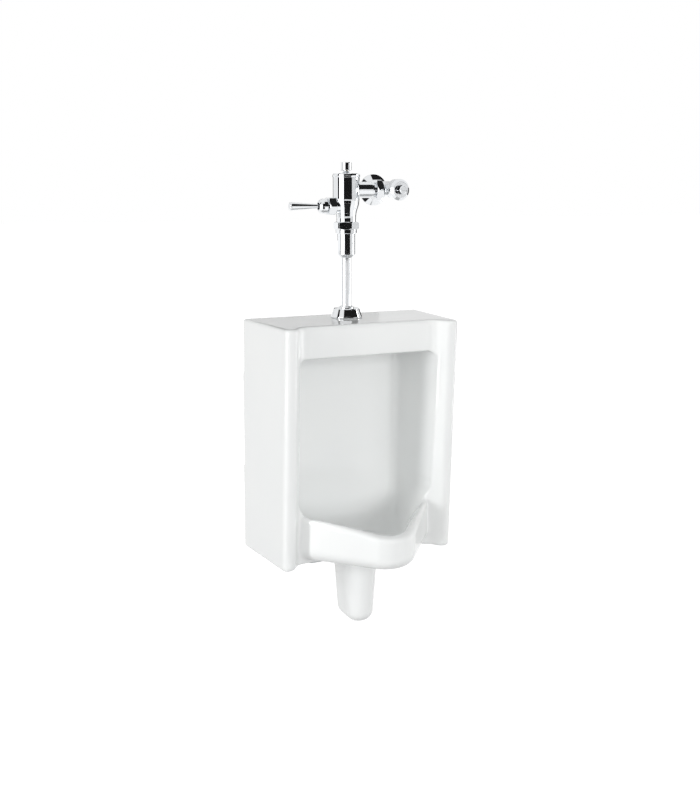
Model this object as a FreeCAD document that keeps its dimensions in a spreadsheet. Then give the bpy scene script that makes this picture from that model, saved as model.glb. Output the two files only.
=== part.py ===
import FreeCAD
import Part
import Sketcher
import math
import os
import re

# A wall-hung washout urinal in white china with an exposed chrome flush valve.
# Millimetres. Origin at the centre of the waste outlet on the wall plane, +Z up, the front faces -Y.

SIZES = {
    # China: wings, header and coves
    "china_top": 475.0,
    "back_width": 375.0,
    "foot_width": 390.0,
    "back_grind": 3.0,
    "front_width": 349.0,
    "wing_depth": 194.0,
    "wing_height": 454.0,
    "wing_lean": 21.0,
    "pillar_width": 20.0,
    "panel_recess": 26.0,
    "cove_width": 20.0,
    "pillar_outer_round": 11.0,
    "pillar_inner_round": 14.0,
    "cove_round": 26.0,
    "top_round": 5.0,
    "foot_round": 5.0,
    "china_wall": 12.0,
    "wing_inner_wall": 12.3,
    # China: opening and cavity
    "header_height": 60.0,
    "opening_width": 282.0,
    "opening_setback": 168.0,
    "opening_edge_round": 40.0,
    "opening_corner": 14.0,
    "cavity_back_width": 254.0,
    "cavity_back_wall": 32.0,
    "cavity_corner": 20.0,
    "cavity_height": 255.0,
    # China: lip and bowl
    "lip_apex": 327.0,
    "lip_half_angle": 38.0,
    "lip_root": 100.0,
    "nose_round": 57.0,
    "rim_back_drop": 357.0,
    "rim_tip_drop": 386.0,
    "rim_sweep": 850.0,
    "rim_width": 18.0,
    "rim_round": 7.0,
    "lip_bottom_drop": 450.0,
    "lip_tip_drop": 436.0,
    "lip_edge_round": 24.0,
    "brow_share": 0.2,
    "bowl_inset": 2.0,
    "slope_drop": 409.0,
    "slope_back": 9.0,
    "slope_corner": 17.0,
    "slope_side": 24.0,
    "slope_nose": 36.0,
    "slope_corner_round": 40.0,
    "slope_side_round": 40.0,
    "slope_nose_round": 35.0,
    "bowl_drop": 428.0,
    "drain_setback": 128.0,
    "sump_radius": 40.0,
    "sump_side": 37.0,
    "sump_side_setback": 132.0,
    "sump_nose": 44.0,
    "sump_corner_round": 15.0,
    "sump_side_round": 14.0,
    "sump_nose_round": 17.0,
    # China: trap horn and waste outlet
    "horn_setback": 105.0,
    "horn_width": 53.0,
    "horn_depth": 85.0,
    "horn_drop": 597.0,
    "horn_corner": 25.0,
    "horn_taper": 4.0,
    "horn_bottom_round": 21.0,
    "trap_bore": 17.0,
    "trap_bend": 23.0,
    "trap_dip": 72.0,
    "outlet_bend": 40.0,
    "spigot_radius": 34.0,
    "outlet_bore": 25.0,
    "outlet_counterbore": 14.0,
    "ear_spacing": 100.0,
    "ear_radius": 14.0,
    "ear_thickness": 12.0,
    # Waste flange on the wall
    "waste_flange": 5.0,
    "waste_gasket": 4.0,
    "gasket_band": 7.0,
    "recess_gap": 2.0,
    "bolt_radius": 3.0,
    "bolt_clearance": 0.4,
    "bolt_head_radius": 5.6,
    "bolt_head_height": 2.5,
    "bolt_spare": 5.0,
    "bolt_nut_flats": 10.0,
    "bolt_nut_height": 5.0,
    "bolt_nut_room": 2.0,
    "nut_edge": 0.3,
    # Drain strainer
    "strainer_radius": 28.0,
    "strainer_thickness": 2.5,
    "strainer_skirt": 9.0,
    "strainer_skirt_wall": 1.6,
    "strainer_fit": 0.3,
    "strainer_hole": 2.8,
    "strainer_hole_ring": 9.0,
    # Wall hangers
    "hanger_height": 60.0,
    "hanger_plate": 4.0,
    "hanger_hook": 26.0,
    "hanger_hook_height": 7.0,
    "hanger_gap": 4.0,
    "hanger_hole": 3.25,
    "hanger_hole_spacing": 30.0,
    "hanger_hole_rise": 14.0,
    # Flush chamber in the header
    "chamber_width": 220.0,
    "chamber_front": 140.0,
    "chamber_back": 25.0,
    "wash_hole": 3.5,
    "wash_hole_pitch": 22.0,
    "wash_hole_setback": 56.0,
    # Spud and escutcheon
    "spud_setback": 65.0,
    "tube_radius": 9.5,
    "tube_wall": 1.0,
    "tube_gap": 0.5,
    "spud_wall": 2.5,
    "spud_foot": 22.0,
    "spud_foot_height": 5.0,
    "spud_foot_lip": 3.2,
    "spud_top": 12.0,
    "spud_gasket_wall": 3.8,
    "spud_gasket_rim": 22.0,
    "spud_gasket_height": 2.5,
    "spud_washer_height": 1.5,
    "locknut_flats": 36.0,
    "locknut_height": 4.0,
    "tube_nut_flats": 31.0,
    "tube_nut_lip": 1.6,
    "tube_seal_height": 3.0,
    "tube_overlap": 12.0,
    "escutcheon_radius": 29.5,
    "escutcheon_top_radius": 24.8,
    "escutcheon_height": 18.5,
    "escutcheon_wall": 1.2,
    "escutcheon_rim": 4.0,
    "collar_radius": 14.0,
    "collar_height": 3.6,
    # Vacuum breaker and coupling
    "breaker_level": 114.0,
    "breaker_radius": 17.0,
    "breaker_wall": 1.3,
    "breaker_cone": 6.0,
    "breaker_neck": 11.5,
    "breaker_length": 51.0,
    "breaker_flange": 2.0,
    "insert_flange": 1.5,
    "insert_wall": 1.5,
    "insert_mouth": 5.0,
    "insert_bore": 11.0,
    "insert_length": 34.0,
    "coupling_gasket_height": 1.5,
    "coupling_skirt": 8.0,
    "coupling_skirt_radius": 20.0,
    "coupling_lip": 6.0,
    "coupling_flats": 44.0,
    "coupling_corner": 24.6,
    "coupling_height": 22.0,
    "coupling_chamfer": 2.0,
    "coupling_shoulder": 3.2,
    "thread_gap": 0.3,
    # Valve body
    "neck_thread": 18.6,
    "neck_radius": 18.3,
    "neck_top": 17.0,
    "flare_top": 55.0,
    "valve_radius": 25.0,
    "valve_height": 92.5,
    "outlet_passage": 14.0,
    "seat_level": 52.0,
    "seat_recess": 4.0,
    "seat_radius": 17.0,
    "seat_height": 5.0,
    "seat_bore": 11.0,
    "chamber_bore": 21.5,
    "cover_bore": 23.0,
    "cover_depth": 5.5,
    "moving_gap": 0.3,
    "running_fit": 0.05,
    # Piston and relief valve
    "piston_radius": 15.0,
    "piston_skirt": 19.7,
    "piston_flange_radius": 18.0,
    "piston_flange": 2.5,
    "cup_height": 2.5,
    "cup_inner": 12.0,
    "relief_hole": 6.5,
    "relief_head": 9.0,
    "relief_head_height": 2.0,
    "relief_stem": 3.0,
    "relief_reach": 7.0,
    # Cover, cap and regulator
    "cover_gasket_height": 1.0,
    "cover_gasket_inner": 19.0,
    "cover_flange": 2.0,
    "cover_fit": 0.2,
    "dome_radius": 16.0,
    "dome_height": 5.5,
    "dome_wall": 2.0,
    "cap_height": 7.0,
    "cap_wall": 2.5,
    "cap_inner": 20.0,
    "cap_bead": 8.0,
    "cap_neck_foot": 9.0,
    "cap_neck_radius": 5.5,
    "cap_neck_height": 5.5,
    "cap_neck_round": 6.6,
    "knob_radius": 10.0,
    "knob_height": 15.2,
    "knob_round": 1.5,
    "spindle_radius": 3.0,
    "spindle_in_knob": 8.0,
    "spindle_end": 0.5,
    "o_ring_section": 0.9,
    "o_ring_gap": 0.35,
    "o_ring_room": 0.4,
    "regulator_travel": 1.25,
    # Handle
    "handle_level": 40.0,
    "handle_boss": 14.0,
    "handle_boss_reach": 25.0,
    "handle_thread": 13.0,
    "handle_reach": 34.0,
    "plunger_radius": 4.0,
    "plunger_tip": 3.4,
    "plunger_head": 8.0,
    "plunger_head_thickness": 2.0,
    "plunger_head_reach": 44.5,
    "plunger_room": 1.0,
    "bushing_radius": 10.0,
    "bushing_length": 12.0,
    "packing_radius": 7.0,
    "packing_length": 3.0,
    "packing_pocket": 4.0,
    "spring_radius": 6.0,
    "spring_wire": 0.6,
    "spring_coils": 4.0,
    "spring_gap": 0.5,
    "handle_nut_flats": 31.0,
    "handle_nut_corner": 17.4,
    "handle_nut_reach": 40.0,
    "handle_nut_chamfer": 1.8,
    "socket_flange_radius": 12.6,
    "socket_flange": 2.5,
    "socket_neck": 11.0,
    "socket_dome": 13.8,
    "socket_dome_start": 42.5,
    "socket_dome_end": 57.0,
    "socket_mouth": 8.6,
    "socket_bore": 10.3,
    "socket_bore_end": 52.0,
    "socket_hole": 6.8,
    "lever_flange_radius": 9.3,
    "lever_flange": 2.5,
    "lever_gap": 0.5,
    "lever_neck": 3.8,
    "lever_grip": 7.6,
    "lever_length": 115.0,
    "lever_end_round": 2.5,
    # Inlet arm
    "inlet_level": 70.0,
    "inlet_boss": 15.0,
    "inlet_boss_reach": 49.0,
    "inlet_step": 13.6,
    "inlet_reach": 54.0,
    "inlet_bore": 12.2,
    "inlet_bore_start": 30.0,
    "inlet_passage": 7.0,
    "tail_fit": 0.2,
    "tail_wall": 2.0,
    "tail_room": 1.0,
    "tail_end": 66.0,
    "tail_flange": 15.0,
    "tail_flange_height": 2.0,
    "tail_groove": 40.0,
    "inlet_ring_section": 0.55,
    "inlet_nut_start": 57.0,
    "inlet_nut_end": 71.0,
    "inlet_nut_flats": 37.0,
    "inlet_nut_corner": 20.8,
    "inlet_nut_chamfer": 2.2,
    # Control stop
    "stop_offset": 88.0,
    "stop_radius": 16.5,
    "stop_start": 24.0,
    "stop_end": 86.0,
    "stop_boss": 15.0,
    "stop_port": 9.0,
    "pipe_radius": 13.3,
    "pipe_bore": 10.4,
    "pipe_overlap": 10.0,
    "stop_seat": 44.0,
    "stop_seat_wall": 4.0,
    "stop_seat_bore": 8.0,
    "stop_chamber": 11.5,
    "stop_travel": 3.0,
    "washer_radius": 10.0,
    "washer_height": 2.0,
    "disc_height": 3.7,
    "disc_stem": 2.0,
    "disc_stem_length": 5.0,
    "stop_spindle": 4.9,
    "bonnet_thread": 10.0,
    "bonnet_flange": 17.3,
    "bonnet_flange_height": 6.0,
    "bonnet_flats": 32.0,
    "bonnet_neck": 13.0,
    "bonnet_end": 106.0,
    "bonnet_ring_level": 98.0,
    "stop_cap_start": 94.0,
    "stop_cap_radius": 19.8,
    "stop_cap_end": 118.0,
    "stop_cap_face": 4.0,
    "stop_cap_cone": 5.0,
    "stop_cap_mouth": 15.0,
    "stop_cap_edge": 3.0,
    "screw_head": 8.0,
    "screw_head_start": 110.0,
    "screw_end": 130.0,
    "screw_chamfer": 2.0,
    "screw_hole_gap": 0.4,
    "screw_slot": 2.0,
    "screw_slot_depth": 3.0,
    "wall_plate_radius": 30.0,
    "wall_plate_shoulder": 18.0,
    "wall_plate_height": 9.0,
    "wall_plate_wall": 1.2,
    "wall_plate_rim": 3.0,
    "wall_plate_gap": 0.2,
}

WASH_HOLES = 9
STRAINER_HOLES = 6
STRAINER_TURN = 15
NEAR = 0.5

doc = FreeCAD.newDocument("Urinal")
sheet = doc.addObject("Spreadsheet::Sheet", "Sizes")
for row, (alias, size) in enumerate(SIZES.items(), start=1):
    sheet.set(f"A{row}", alias)
    sheet.set(f"B{row}", str(size))
    sheet.setAlias(f"B{row}", alias)
doc.recompute()

nodes = []


# Helpers: sizes, sketches and the features made from them

def sized(text):
    """Expression in which every size name is read from the sheet."""
    return re.sub(r"[a-z]\w*", lambda word: "Sizes." + word[0] if word[0] in SIZES else word[0], text)


def value(text):
    return float(sheet.evalExpression(sized(text)))


def new_body(label):
    body = doc.addObject("PartDesign::Body", label)
    body.Label = label
    return body


def as_node(item, label):
    item.Label = label
    nodes.append(item)


def place(item, x="0", y="0", z="0", towards=(0, 0, 1)):
    """Puts an object's local origin at x, y, z with its local Z axis turned towards a direction."""
    turn = FreeCAD.Rotation(FreeCAD.Vector(0, 0, 1), FreeCAD.Vector(*towards))
    item.Placement = FreeCAD.Placement(FreeCAD.Vector(), turn)
    for axis, text in zip("xyz", (x, y, z)):
        item.setExpression(f"Placement.Base.{axis}", sized(text))


def sketch_on(body, role, lift="0"):
    """Sketch on one of the body's own planes, lifted along the plane's normal."""
    plane = [item for item in body.Origin.OriginFeatures if item.Role == role][0]
    sketch = body.newObject("Sketcher::SketchObject", body.Label + "_sketch")
    sketch.AttachmentSupport = [(plane, "")]
    sketch.MapMode = "FlatFace"
    sketch.setExpression("AttachmentOffset.Base.z", sized(lift))
    return sketch


def bind(sketch, constraint, text):
    index = sketch.addConstraint(constraint)
    sketch.setExpression(f"Constraints[{index}]", sized(text))


def pin_point(sketch, edge, point, u, v):
    """Fixes a sketch point at u, v, on the axis itself where a coordinate is zero."""
    for kind, axis, text in (("DistanceX", -2, u), ("DistanceY", -1, v)):
        if text == "0":
            sketch.addConstraint(Sketcher.Constraint("PointOnObject", edge, point, axis))
        else:
            bind(sketch, Sketcher.Constraint(kind, edge, point, value(text)), text)


def outline(sketch, corners):
    """Closed outline through corners (u, v). A corner (u, v, radius, side) starts an arc whose
    centre lies to the left (1) or right (-1) of the way to the next corner."""
    points = [FreeCAD.Vector(value(corner[0]), value(corner[1]), 0) for corner in corners]
    ends = []
    for index, corner in enumerate(corners):
        start = points[index]
        end = points[(index + 1) % len(points)]
        if len(corner) == 2:
            edge = sketch.addGeometry(Part.LineSegment(start, end), False)
            ends.append((edge, 1, 2))
            continue
        radius, side = value(corner[2]), corner[3]
        chord = end - start
        rise = math.sqrt(max(radius ** 2 - chord.Length ** 2 / 4, 0))
        across = FreeCAD.Vector(-chord.y, chord.x, 0).normalize()
        circle = Part.Circle((start + end) * 0.5 + across * rise * side, FreeCAD.Vector(0, 0, 1), radius)
        first, last = (start, end) if side > 0 else (end, start)
        arc = Part.ArcOfCircle(circle, circle.parameter(first), circle.parameter(last))
        edge = sketch.addGeometry(arc, False)
        bind(sketch, Sketcher.Constraint("Radius", edge, radius), corner[2])
        ends.append((edge, 1, 2) if side > 0 else (edge, 2, 1))
    for index, corner in enumerate(corners):
        edge, start, _ = ends[index]
        before, _, finish = ends[index - 1]
        sketch.addConstraint(Sketcher.Constraint("Coincident", before, finish, edge, start))
        pin_point(sketch, edge, start, corner[0], corner[1])
    return sketch


def rounded_outline(sketch, corners):
    """Closed outline of straight lines whose corners (u, v, radius) are rounded by tangent arcs,
    or left sharp where the radius is zero."""
    points = [FreeCAD.Vector(value(u), value(v), 0) for u, v, _ in corners]
    count = len(points)
    tangents = []
    for index in range(count):
        point, radius = points[index], value(corners[index][2])
        back = (points[index - 1] - point).normalize()
        ahead = (points[(index + 1) % count] - point).normalize()
        half = back.getAngle(ahead) / 2
        reach = radius / math.tan(half)
        centre = point + (back + ahead).normalize() * (radius / math.sin(half))
        tangents.append((point + back * reach, point + ahead * reach, centre, radius))
    lines = []
    for index in range(count):
        leave, arrive = tangents[index][1], tangents[(index + 1) % count][0]
        lines.append(sketch.addGeometry(Part.LineSegment(leave, arrive), False))
    for index, (u, v, round_text) in enumerate(corners):
        before, after = lines[index - 1], lines[index]
        if round_text == "0":
            sketch.addConstraint(Sketcher.Constraint("Coincident", before, 2, after, 1))
            pin_point(sketch, after, 1, u, v)
            continue
        arrive, leave, centre, radius = tangents[index]
        turns_left = (arrive - centre).cross(leave - centre).z > 0
        first, last = (arrive, leave) if turns_left else (leave, arrive)
        circle = Part.Circle(centre, FreeCAD.Vector(0, 0, 1), radius)
        arc = sketch.addGeometry(
            Part.ArcOfCircle(circle, circle.parameter(first), circle.parameter(last)), False)
        enters, exits = (1, 2) if turns_left else (2, 1)
        sketch.addConstraint(Sketcher.Constraint("Tangent", before, 2, arc, enters))
        sketch.addConstraint(Sketcher.Constraint("Tangent", arc, exits, after, 1))
        bind(sketch, Sketcher.Constraint("Radius", arc, radius), round_text)
        corner = sketch.addGeometry(Part.Point(points[index]), True)
        pin_point(sketch, corner, 1, u, v)
        for line in (before, after):
            sketch.addConstraint(Sketcher.Constraint("PointOnObject", corner, 1, line))
    return sketch


def circle_at(sketch, radius, u="0", v="0"):
    centre = FreeCAD.Vector(value(u), value(v), 0)
    edge = sketch.addGeometry(Part.Circle(centre, FreeCAD.Vector(0, 0, 1), value(radius)), False)
    bind(sketch, Sketcher.Constraint("Radius", edge, value(radius)), radius)
    pin_point(sketch, edge, 3, u, v)
    return sketch


def extrude(body, sketch, length, kind="Pad", flip=False, both=False, taper="0"):
    feature = body.newObject("PartDesign::" + kind, f"{body.Label}_{kind.lower()}")
    feature.Profile = sketch
    feature.setExpression("Length", sized(length))
    feature.Reversed = flip
    feature.Midplane = both
    if kind == "Pad":
        feature.setExpression("TaperAngle", sized(taper))
    return feature


def revolve(body, corners, kind="Revolution"):
    """Turns an outline of (radius, height) corners about the body's Z axis."""
    feature = body.newObject("PartDesign::" + kind, f"{body.Label}_{kind.lower()}")
    sketch = outline(sketch_on(body, "XZ_Plane"), corners)
    feature.Profile = sketch
    feature.ReferenceAxis = (sketch, ["V_Axis"])
    feature.Angle = 360
    return feature


def ring_profile(inner, outer, bottom, top):
    return [(inner, bottom), (outer, bottom), (outer, top), (inner, top)]


def loft(body, sketches, ruled=True):
    feature = body.newObject("PartDesign::AdditiveLoft", body.Label + "_loft")
    feature.Profile = sketches[0]
    feature.Sections = sketches[1:]
    feature.Ruled = ruled
    return feature


def round_edges(body, base, radius, wanted):
    """Fillet on the edges of the last feature for which wanted(edge) is true."""
    doc.recompute()
    names = [f"Edge{number}" for number, edge in enumerate(base.Shape.Edges, start=1) if wanted(edge)]
    feature = body.newObject("PartDesign::Fillet", body.Label + "_fillet")
    feature.Base = (base, names)
    feature.setExpression("Radius", sized(radius))
    return feature


def hexagon(sketch, flats):
    """Six-sided outline about the sketch origin, measured across its flats."""
    half, quarter, side = f"{flats} / 2", f"{flats} / 2 / sqrt(3)", f"{flats} / sqrt(3)"
    return outline(sketch, [
        (half, quarter), ("0", side), (f"-{half}", quarter),
        (f"-{half}", f"-{quarter}"), ("0", f"-{side}"), (half, f"-{quarter}")])


def corner_radius(flats):
    """Radius of a nut's corners, a little less than the full hexagon's."""
    return f"({flats} / sqrt(3) - nut_edge)"


def cut_flats(body, flats, around, bottom, top):
    """Leaves six flats between two heights of a turned piece."""
    sketch = sketch_on(body, "XY_Plane", top)
    hexagon(sketch, flats)
    circle_at(sketch, f"{around} + {flats}")
    return extrude(body, sketch, f"{top} - ({bottom})", "Pocket")


def side_round(body, role, radius, height, length, kind="Pad", flip=False, lift="0"):
    """Cylinder square to the body's axis at a height, added or cut."""
    sketch = circle_at(sketch_on(body, role, lift), radius, "0", height)
    return extrude(body, sketch, length, kind, flip)


def turned(label, corners, x="0", y="0", z="0", towards=(0, 0, 1)):
    """One piece turned on a lathe, placed on its axis."""
    body = new_body(label)
    revolve(body, corners)
    place(body, x, y, z, towards)
    as_node(body, label)
    return body


def o_ring(label, middle, section, height, **where):
    ring = doc.addObject("Part::Torus", label)
    ring.setExpression("Radius1", sized(middle))
    ring.setExpression("Radius2", sized(section))
    x, y, z = where["x"], where["y"], where["z"]
    towards = where.get("towards", (0, 0, 1))
    shifted = [f"{text} + ({component}) * ({height})" for text, component in zip((x, y, z), towards)]
    place(ring, *shifted, towards=towards)
    as_node(ring, label)


# China: the wings and header, a block that leans back and widens towards its foot. It is cast a little
# long at the back and ground flat there, on the wall plane.

def wing_outline(body, width, depth, level):
    """Plan of the wings at one level, from its width at the wall and its depth."""
    front = f"({width} - ({width} - front_width) * ({depth}) / wing_depth) / 2"
    inner = f"({front} - pillar_width)"
    cove = f"({front} - pillar_width - cove_width)"
    panel = f"-({depth} - panel_recess)"
    right = [(f"{width} / 2", "back_grind"), (front, f"-({depth})"), (inner, f"-({depth})"), (cove, panel)]
    left = [(f"-({u})", v) for u, v in reversed(right)]
    return outline(sketch_on(body, "XY_Plane", level), right + left)


wings = new_body("china_wings")
wing_top = wing_outline(wings, "back_width", "wing_depth", "china_top")
wing_foot = wing_outline(wings, "foot_width", "wing_depth - wing_lean", "china_top - wing_height")
wing_block = loft(wings, [wing_top, wing_foot])


def upright_at(half_width):
    """True for the upright edges whose top end stands at a half-width."""
    def wanted(edge):
        ends = sorted((vertex.Point for vertex in edge.Vertexes), key=lambda point: point.z)
        upright = ends[-1].z - ends[0].z > value("wing_height") / 2
        return upright and abs(abs(ends[-1].x) - half_width) < NEAR
    return wanted


WING_ROUNDS = [
    ("front_width / 2", "pillar_outer_round"),
    ("front_width / 2 - pillar_width", "pillar_inner_round"),
    ("front_width / 2 - pillar_width - cove_width", "cove_round"),
]
wing_shape = wing_block
for half_width, radius in WING_ROUNDS:
    wing_shape = round_edges(wings, wing_shape, radius, upright_at(value(half_width)))


def front_top_edge(edge):
    box = edge.BoundBox
    at_top = box.ZMin > value("china_top") - NEAR
    return at_top and box.YMin < -NEAR


def front_foot_edge(edge):
    box = edge.BoundBox
    at_foot = box.ZMax < value("china_top - wing_height") + NEAR
    return at_foot and box.YMin < -NEAR


wing_shape = round_edges(wings, wing_shape, "top_round", front_top_edge)
round_edges(wings, wing_shape, "foot_round", front_foot_edge)
ground_back = outline(sketch_on(wings, "XZ_Plane"), [
    (f"{side}foot_width", level) for side, level in (
        ("", "china_top * 2"), ("-", "china_top * 2"), ("-", "-wing_height"), ("", "-wing_height"))])
extrude(wings, ground_back, "back_grind * 2", "Pocket")

# China: the lip, a blunt arrow in plan with a rounded nose and a rim that falls towards the nose

LIP_ROOT_HALF = "(lip_apex - lip_root) * tan(lip_half_angle)"

lip = new_body("china_lip")
lip_plan = rounded_outline(sketch_on(lip, "XY_Plane", "china_top - lip_bottom_drop"), [
    (LIP_ROOT_HALF, "-lip_root", "0"),
    (f"-{LIP_ROOT_HALF}", "-lip_root", "0"),
    ("0", "-lip_apex", "nose_round")])
lip_pad = extrude(lip, lip_plan, "lip_bottom_drop - cavity_height - header_height")
rim_side = outline(sketch_on(lip, "YZ_Plane"), [
    ("-lip_root / 2", "china_top - rim_back_drop"),
    ("-lip_root / 2", "china_top"),
    ("-lip_apex", "china_top"),
    ("-lip_apex", "china_top - rim_tip_drop", "rim_sweep", -1)])
extrude(lip, rim_side, "back_width * 2", "Pocket", both=True)
under_side = outline(sketch_on(lip, "YZ_Plane"), [
    ("-lip_root / 2", "china_top - lip_bottom_drop"),
    ("-lip_apex", "china_top - lip_tip_drop"),
    ("-lip_apex", "china_top - lip_bottom_drop - lip_edge_round"),
    ("-lip_root / 2", "china_top - lip_bottom_drop - lip_edge_round")])
lip_cut = extrude(lip, under_side, "back_width * 2", "Pocket", both=True)


def lip_edge(top):
    def wanted(edge):
        box = edge.BoundBox
        foot = value("china_top - lip_tip_drop")
        at_level = box.ZMin > foot + value("lip_edge_round") if top else box.ZMax < foot + NEAR
        return at_level and box.YMin < -value("lip_root") - NEAR
    return wanted


lip_foot = round_edges(lip, lip_cut, "lip_edge_round", lip_edge(False))
round_edges(lip, lip_foot, "rim_round", lip_edge(True))

# China: the trap horn below the bowl and the outlet spigot behind it, with two bolt ears

OUTLET_GAP = "(waste_flange + waste_gasket)"

horn = new_body("china_horn")
horn_plan = rounded_outline(sketch_on(horn, "XY_Plane", "china_top - horn_drop"), [
    (f"{side}horn_width / 2", f"-(horn_setback {end} horn_depth / 2)", "horn_corner")
    for side, end in (("", "+"), ("", "-"), ("-", "-"), ("-", "+"))])
horn_pad = extrude(horn, horn_plan, "horn_drop - bowl_drop", taper="horn_taper")
round_edges(horn, horn_pad, "horn_bottom_round",
            lambda edge: edge.BoundBox.ZMax < value("china_top - horn_drop") + NEAR)

spigot = new_body("china_spigot")
spigot_round = circle_at(sketch_on(spigot, "XZ_Plane", OUTLET_GAP), "spigot_radius")
extrude(spigot, spigot_round, f"horn_setback - {OUTLET_GAP}")
for side in ("", "-"):
    ear = circle_at(sketch_on(spigot, "XZ_Plane", OUTLET_GAP), "ear_radius", f"{side}ear_spacing / 2")
    extrude(spigot, ear, "ear_thickness")
ear_web = outline(sketch_on(spigot, "XZ_Plane", OUTLET_GAP), [
    ("ear_spacing / 2", "ear_radius"), ("-ear_spacing / 2", "ear_radius"),
    ("-ear_spacing / 2", "-ear_radius"), ("ear_spacing / 2", "-ear_radius")])
extrude(spigot, ear_web, "ear_thickness")

china_solid = doc.addObject("Part::MultiFuse", "china_solid")
china_solid.Shapes = [wings, lip, horn, spigot]

# China: the hollows, first the open cavity behind the header

PANEL_SETBACK = "(wing_depth - panel_recess)"
LEDGE = "china_top - header_height - cavity_height"

cavity = new_body("cavity")
cavity_plan = rounded_outline(sketch_on(cavity, "XY_Plane", LEDGE), [
    ("cavity_back_width / 2", "-cavity_back_wall", "cavity_corner"),
    ("-cavity_back_width / 2", "-cavity_back_wall", "cavity_corner"),
    ("-opening_width / 2", "-opening_setback", "opening_edge_round"),
    ("-opening_width / 2", "-wing_depth * 2", "0"),
    ("opening_width / 2", "-wing_depth * 2", "0"),
    ("opening_width / 2", "-opening_setback", "opening_edge_round")])
cavity_pad = extrude(cavity, cavity_plan, "cavity_height")
round_edges(cavity, cavity_pad, "opening_corner",
            lambda edge: edge.BoundBox.ZMin > value("china_top - header_height") - NEAR)

RIM_BACK = "china_top - rim_back_drop"

opening_foot = new_body("opening_foot")
opening_foot_plan = outline(sketch_on(opening_foot, "XY_Plane", RIM_BACK), [
    ("opening_width / 2", "-opening_setback"), ("-opening_width / 2", "-opening_setback"),
    ("-opening_width / 2", "-wing_depth * 2"), ("opening_width / 2", "-wing_depth * 2")])
extrude(opening_foot, opening_foot_plan, f"{LEDGE} - ({RIM_BACK})")


# China: the bowl, from the side walls in to the rim and down to the sump over the drain

def bowl_section(body, level, back, side, apex, rounds):
    """Five-cornered plan of the hollow: two back corners, two side corners and the nose."""
    (back_x, back_y), (side_x, side_y) = back, side
    return rounded_outline(sketch_on(body, "XY_Plane", level), [
        (back_x, f"-({back_y})", rounds[0]),
        (f"-({back_x})", f"-({back_y})", rounds[0]),
        (f"-({side_x})", f"-({side_y})", rounds[1]),
        ("0", f"-({apex})", rounds[2]),
        (side_x, f"-({side_y})", rounds[1])])


RIM_APEX = "(lip_apex - rim_width / sin(lip_half_angle))"
RIM_SIDE = "(opening_setback - rim_width)"
RIM_SIDE_HALF = f"({RIM_APEX} - {RIM_SIDE}) * tan(lip_half_angle)"
RIM_LEVEL = "china_top - (rim_back_drop + rim_tip_drop) / 2"
SUMP_Z = "china_top - bowl_drop"
SLOPE_LEVEL = "china_top - slope_drop"


def turning_in(ledge, rim):
    """A size at the brow, where the walls begin to turn in from the ledge towards the rim."""
    return f"({ledge} + (({rim}) - {ledge}) * brow_share)"


bowl = new_body("bowl_hollow")
sections = [
    bowl_section(bowl, LEDGE, ("cavity_back_width / 2", "cavity_back_wall"),
                 ("opening_width / 2", "opening_setback"), "lip_apex",
                 ("cavity_corner", "opening_edge_round", "nose_round")),
    bowl_section(bowl, f"({LEDGE} + {RIM_LEVEL}) / 2",
                 ("cavity_back_width / 2 - bowl_inset * brow_share",
                  "cavity_back_wall + bowl_inset * brow_share"),
                 (turning_in("opening_width / 2", RIM_SIDE_HALF), turning_in("opening_setback", RIM_SIDE)),
                 turning_in("lip_apex", RIM_APEX),
                 ("cavity_corner", "opening_edge_round", "nose_round - rim_width * brow_share")),
    bowl_section(bowl, RIM_LEVEL,
                 ("cavity_back_width / 2 - bowl_inset", "cavity_back_wall + bowl_inset"),
                 (RIM_SIDE_HALF, RIM_SIDE), RIM_APEX,
                 ("cavity_corner", "opening_edge_round", "nose_round - rim_width")),
    bowl_section(bowl, SLOPE_LEVEL,
                 ("cavity_back_width / 2 - slope_corner", "cavity_back_wall + slope_back"),
                 (f"{RIM_SIDE_HALF} - slope_side", RIM_SIDE), f"{RIM_APEX} - slope_nose",
                 ("slope_corner_round", "slope_side_round", "slope_nose_round")),
    bowl_section(bowl, SUMP_Z,
                 ("sump_radius", "drain_setback - sump_radius"), ("sump_side", "sump_side_setback"),
                 "drain_setback + sump_nose",
                 ("sump_corner_round", "sump_side_round", "sump_nose_round")),
]
loft(bowl, sections, ruled=False)

# China: the trap, down from the sump, round a U-bend, up and out to the wall

trap = new_body("trap_bore")
trap_path = sketch_on(trap, "YZ_Plane")
BACK_LEG = "(drain_setback - 2 * trap_bend)"


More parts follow.
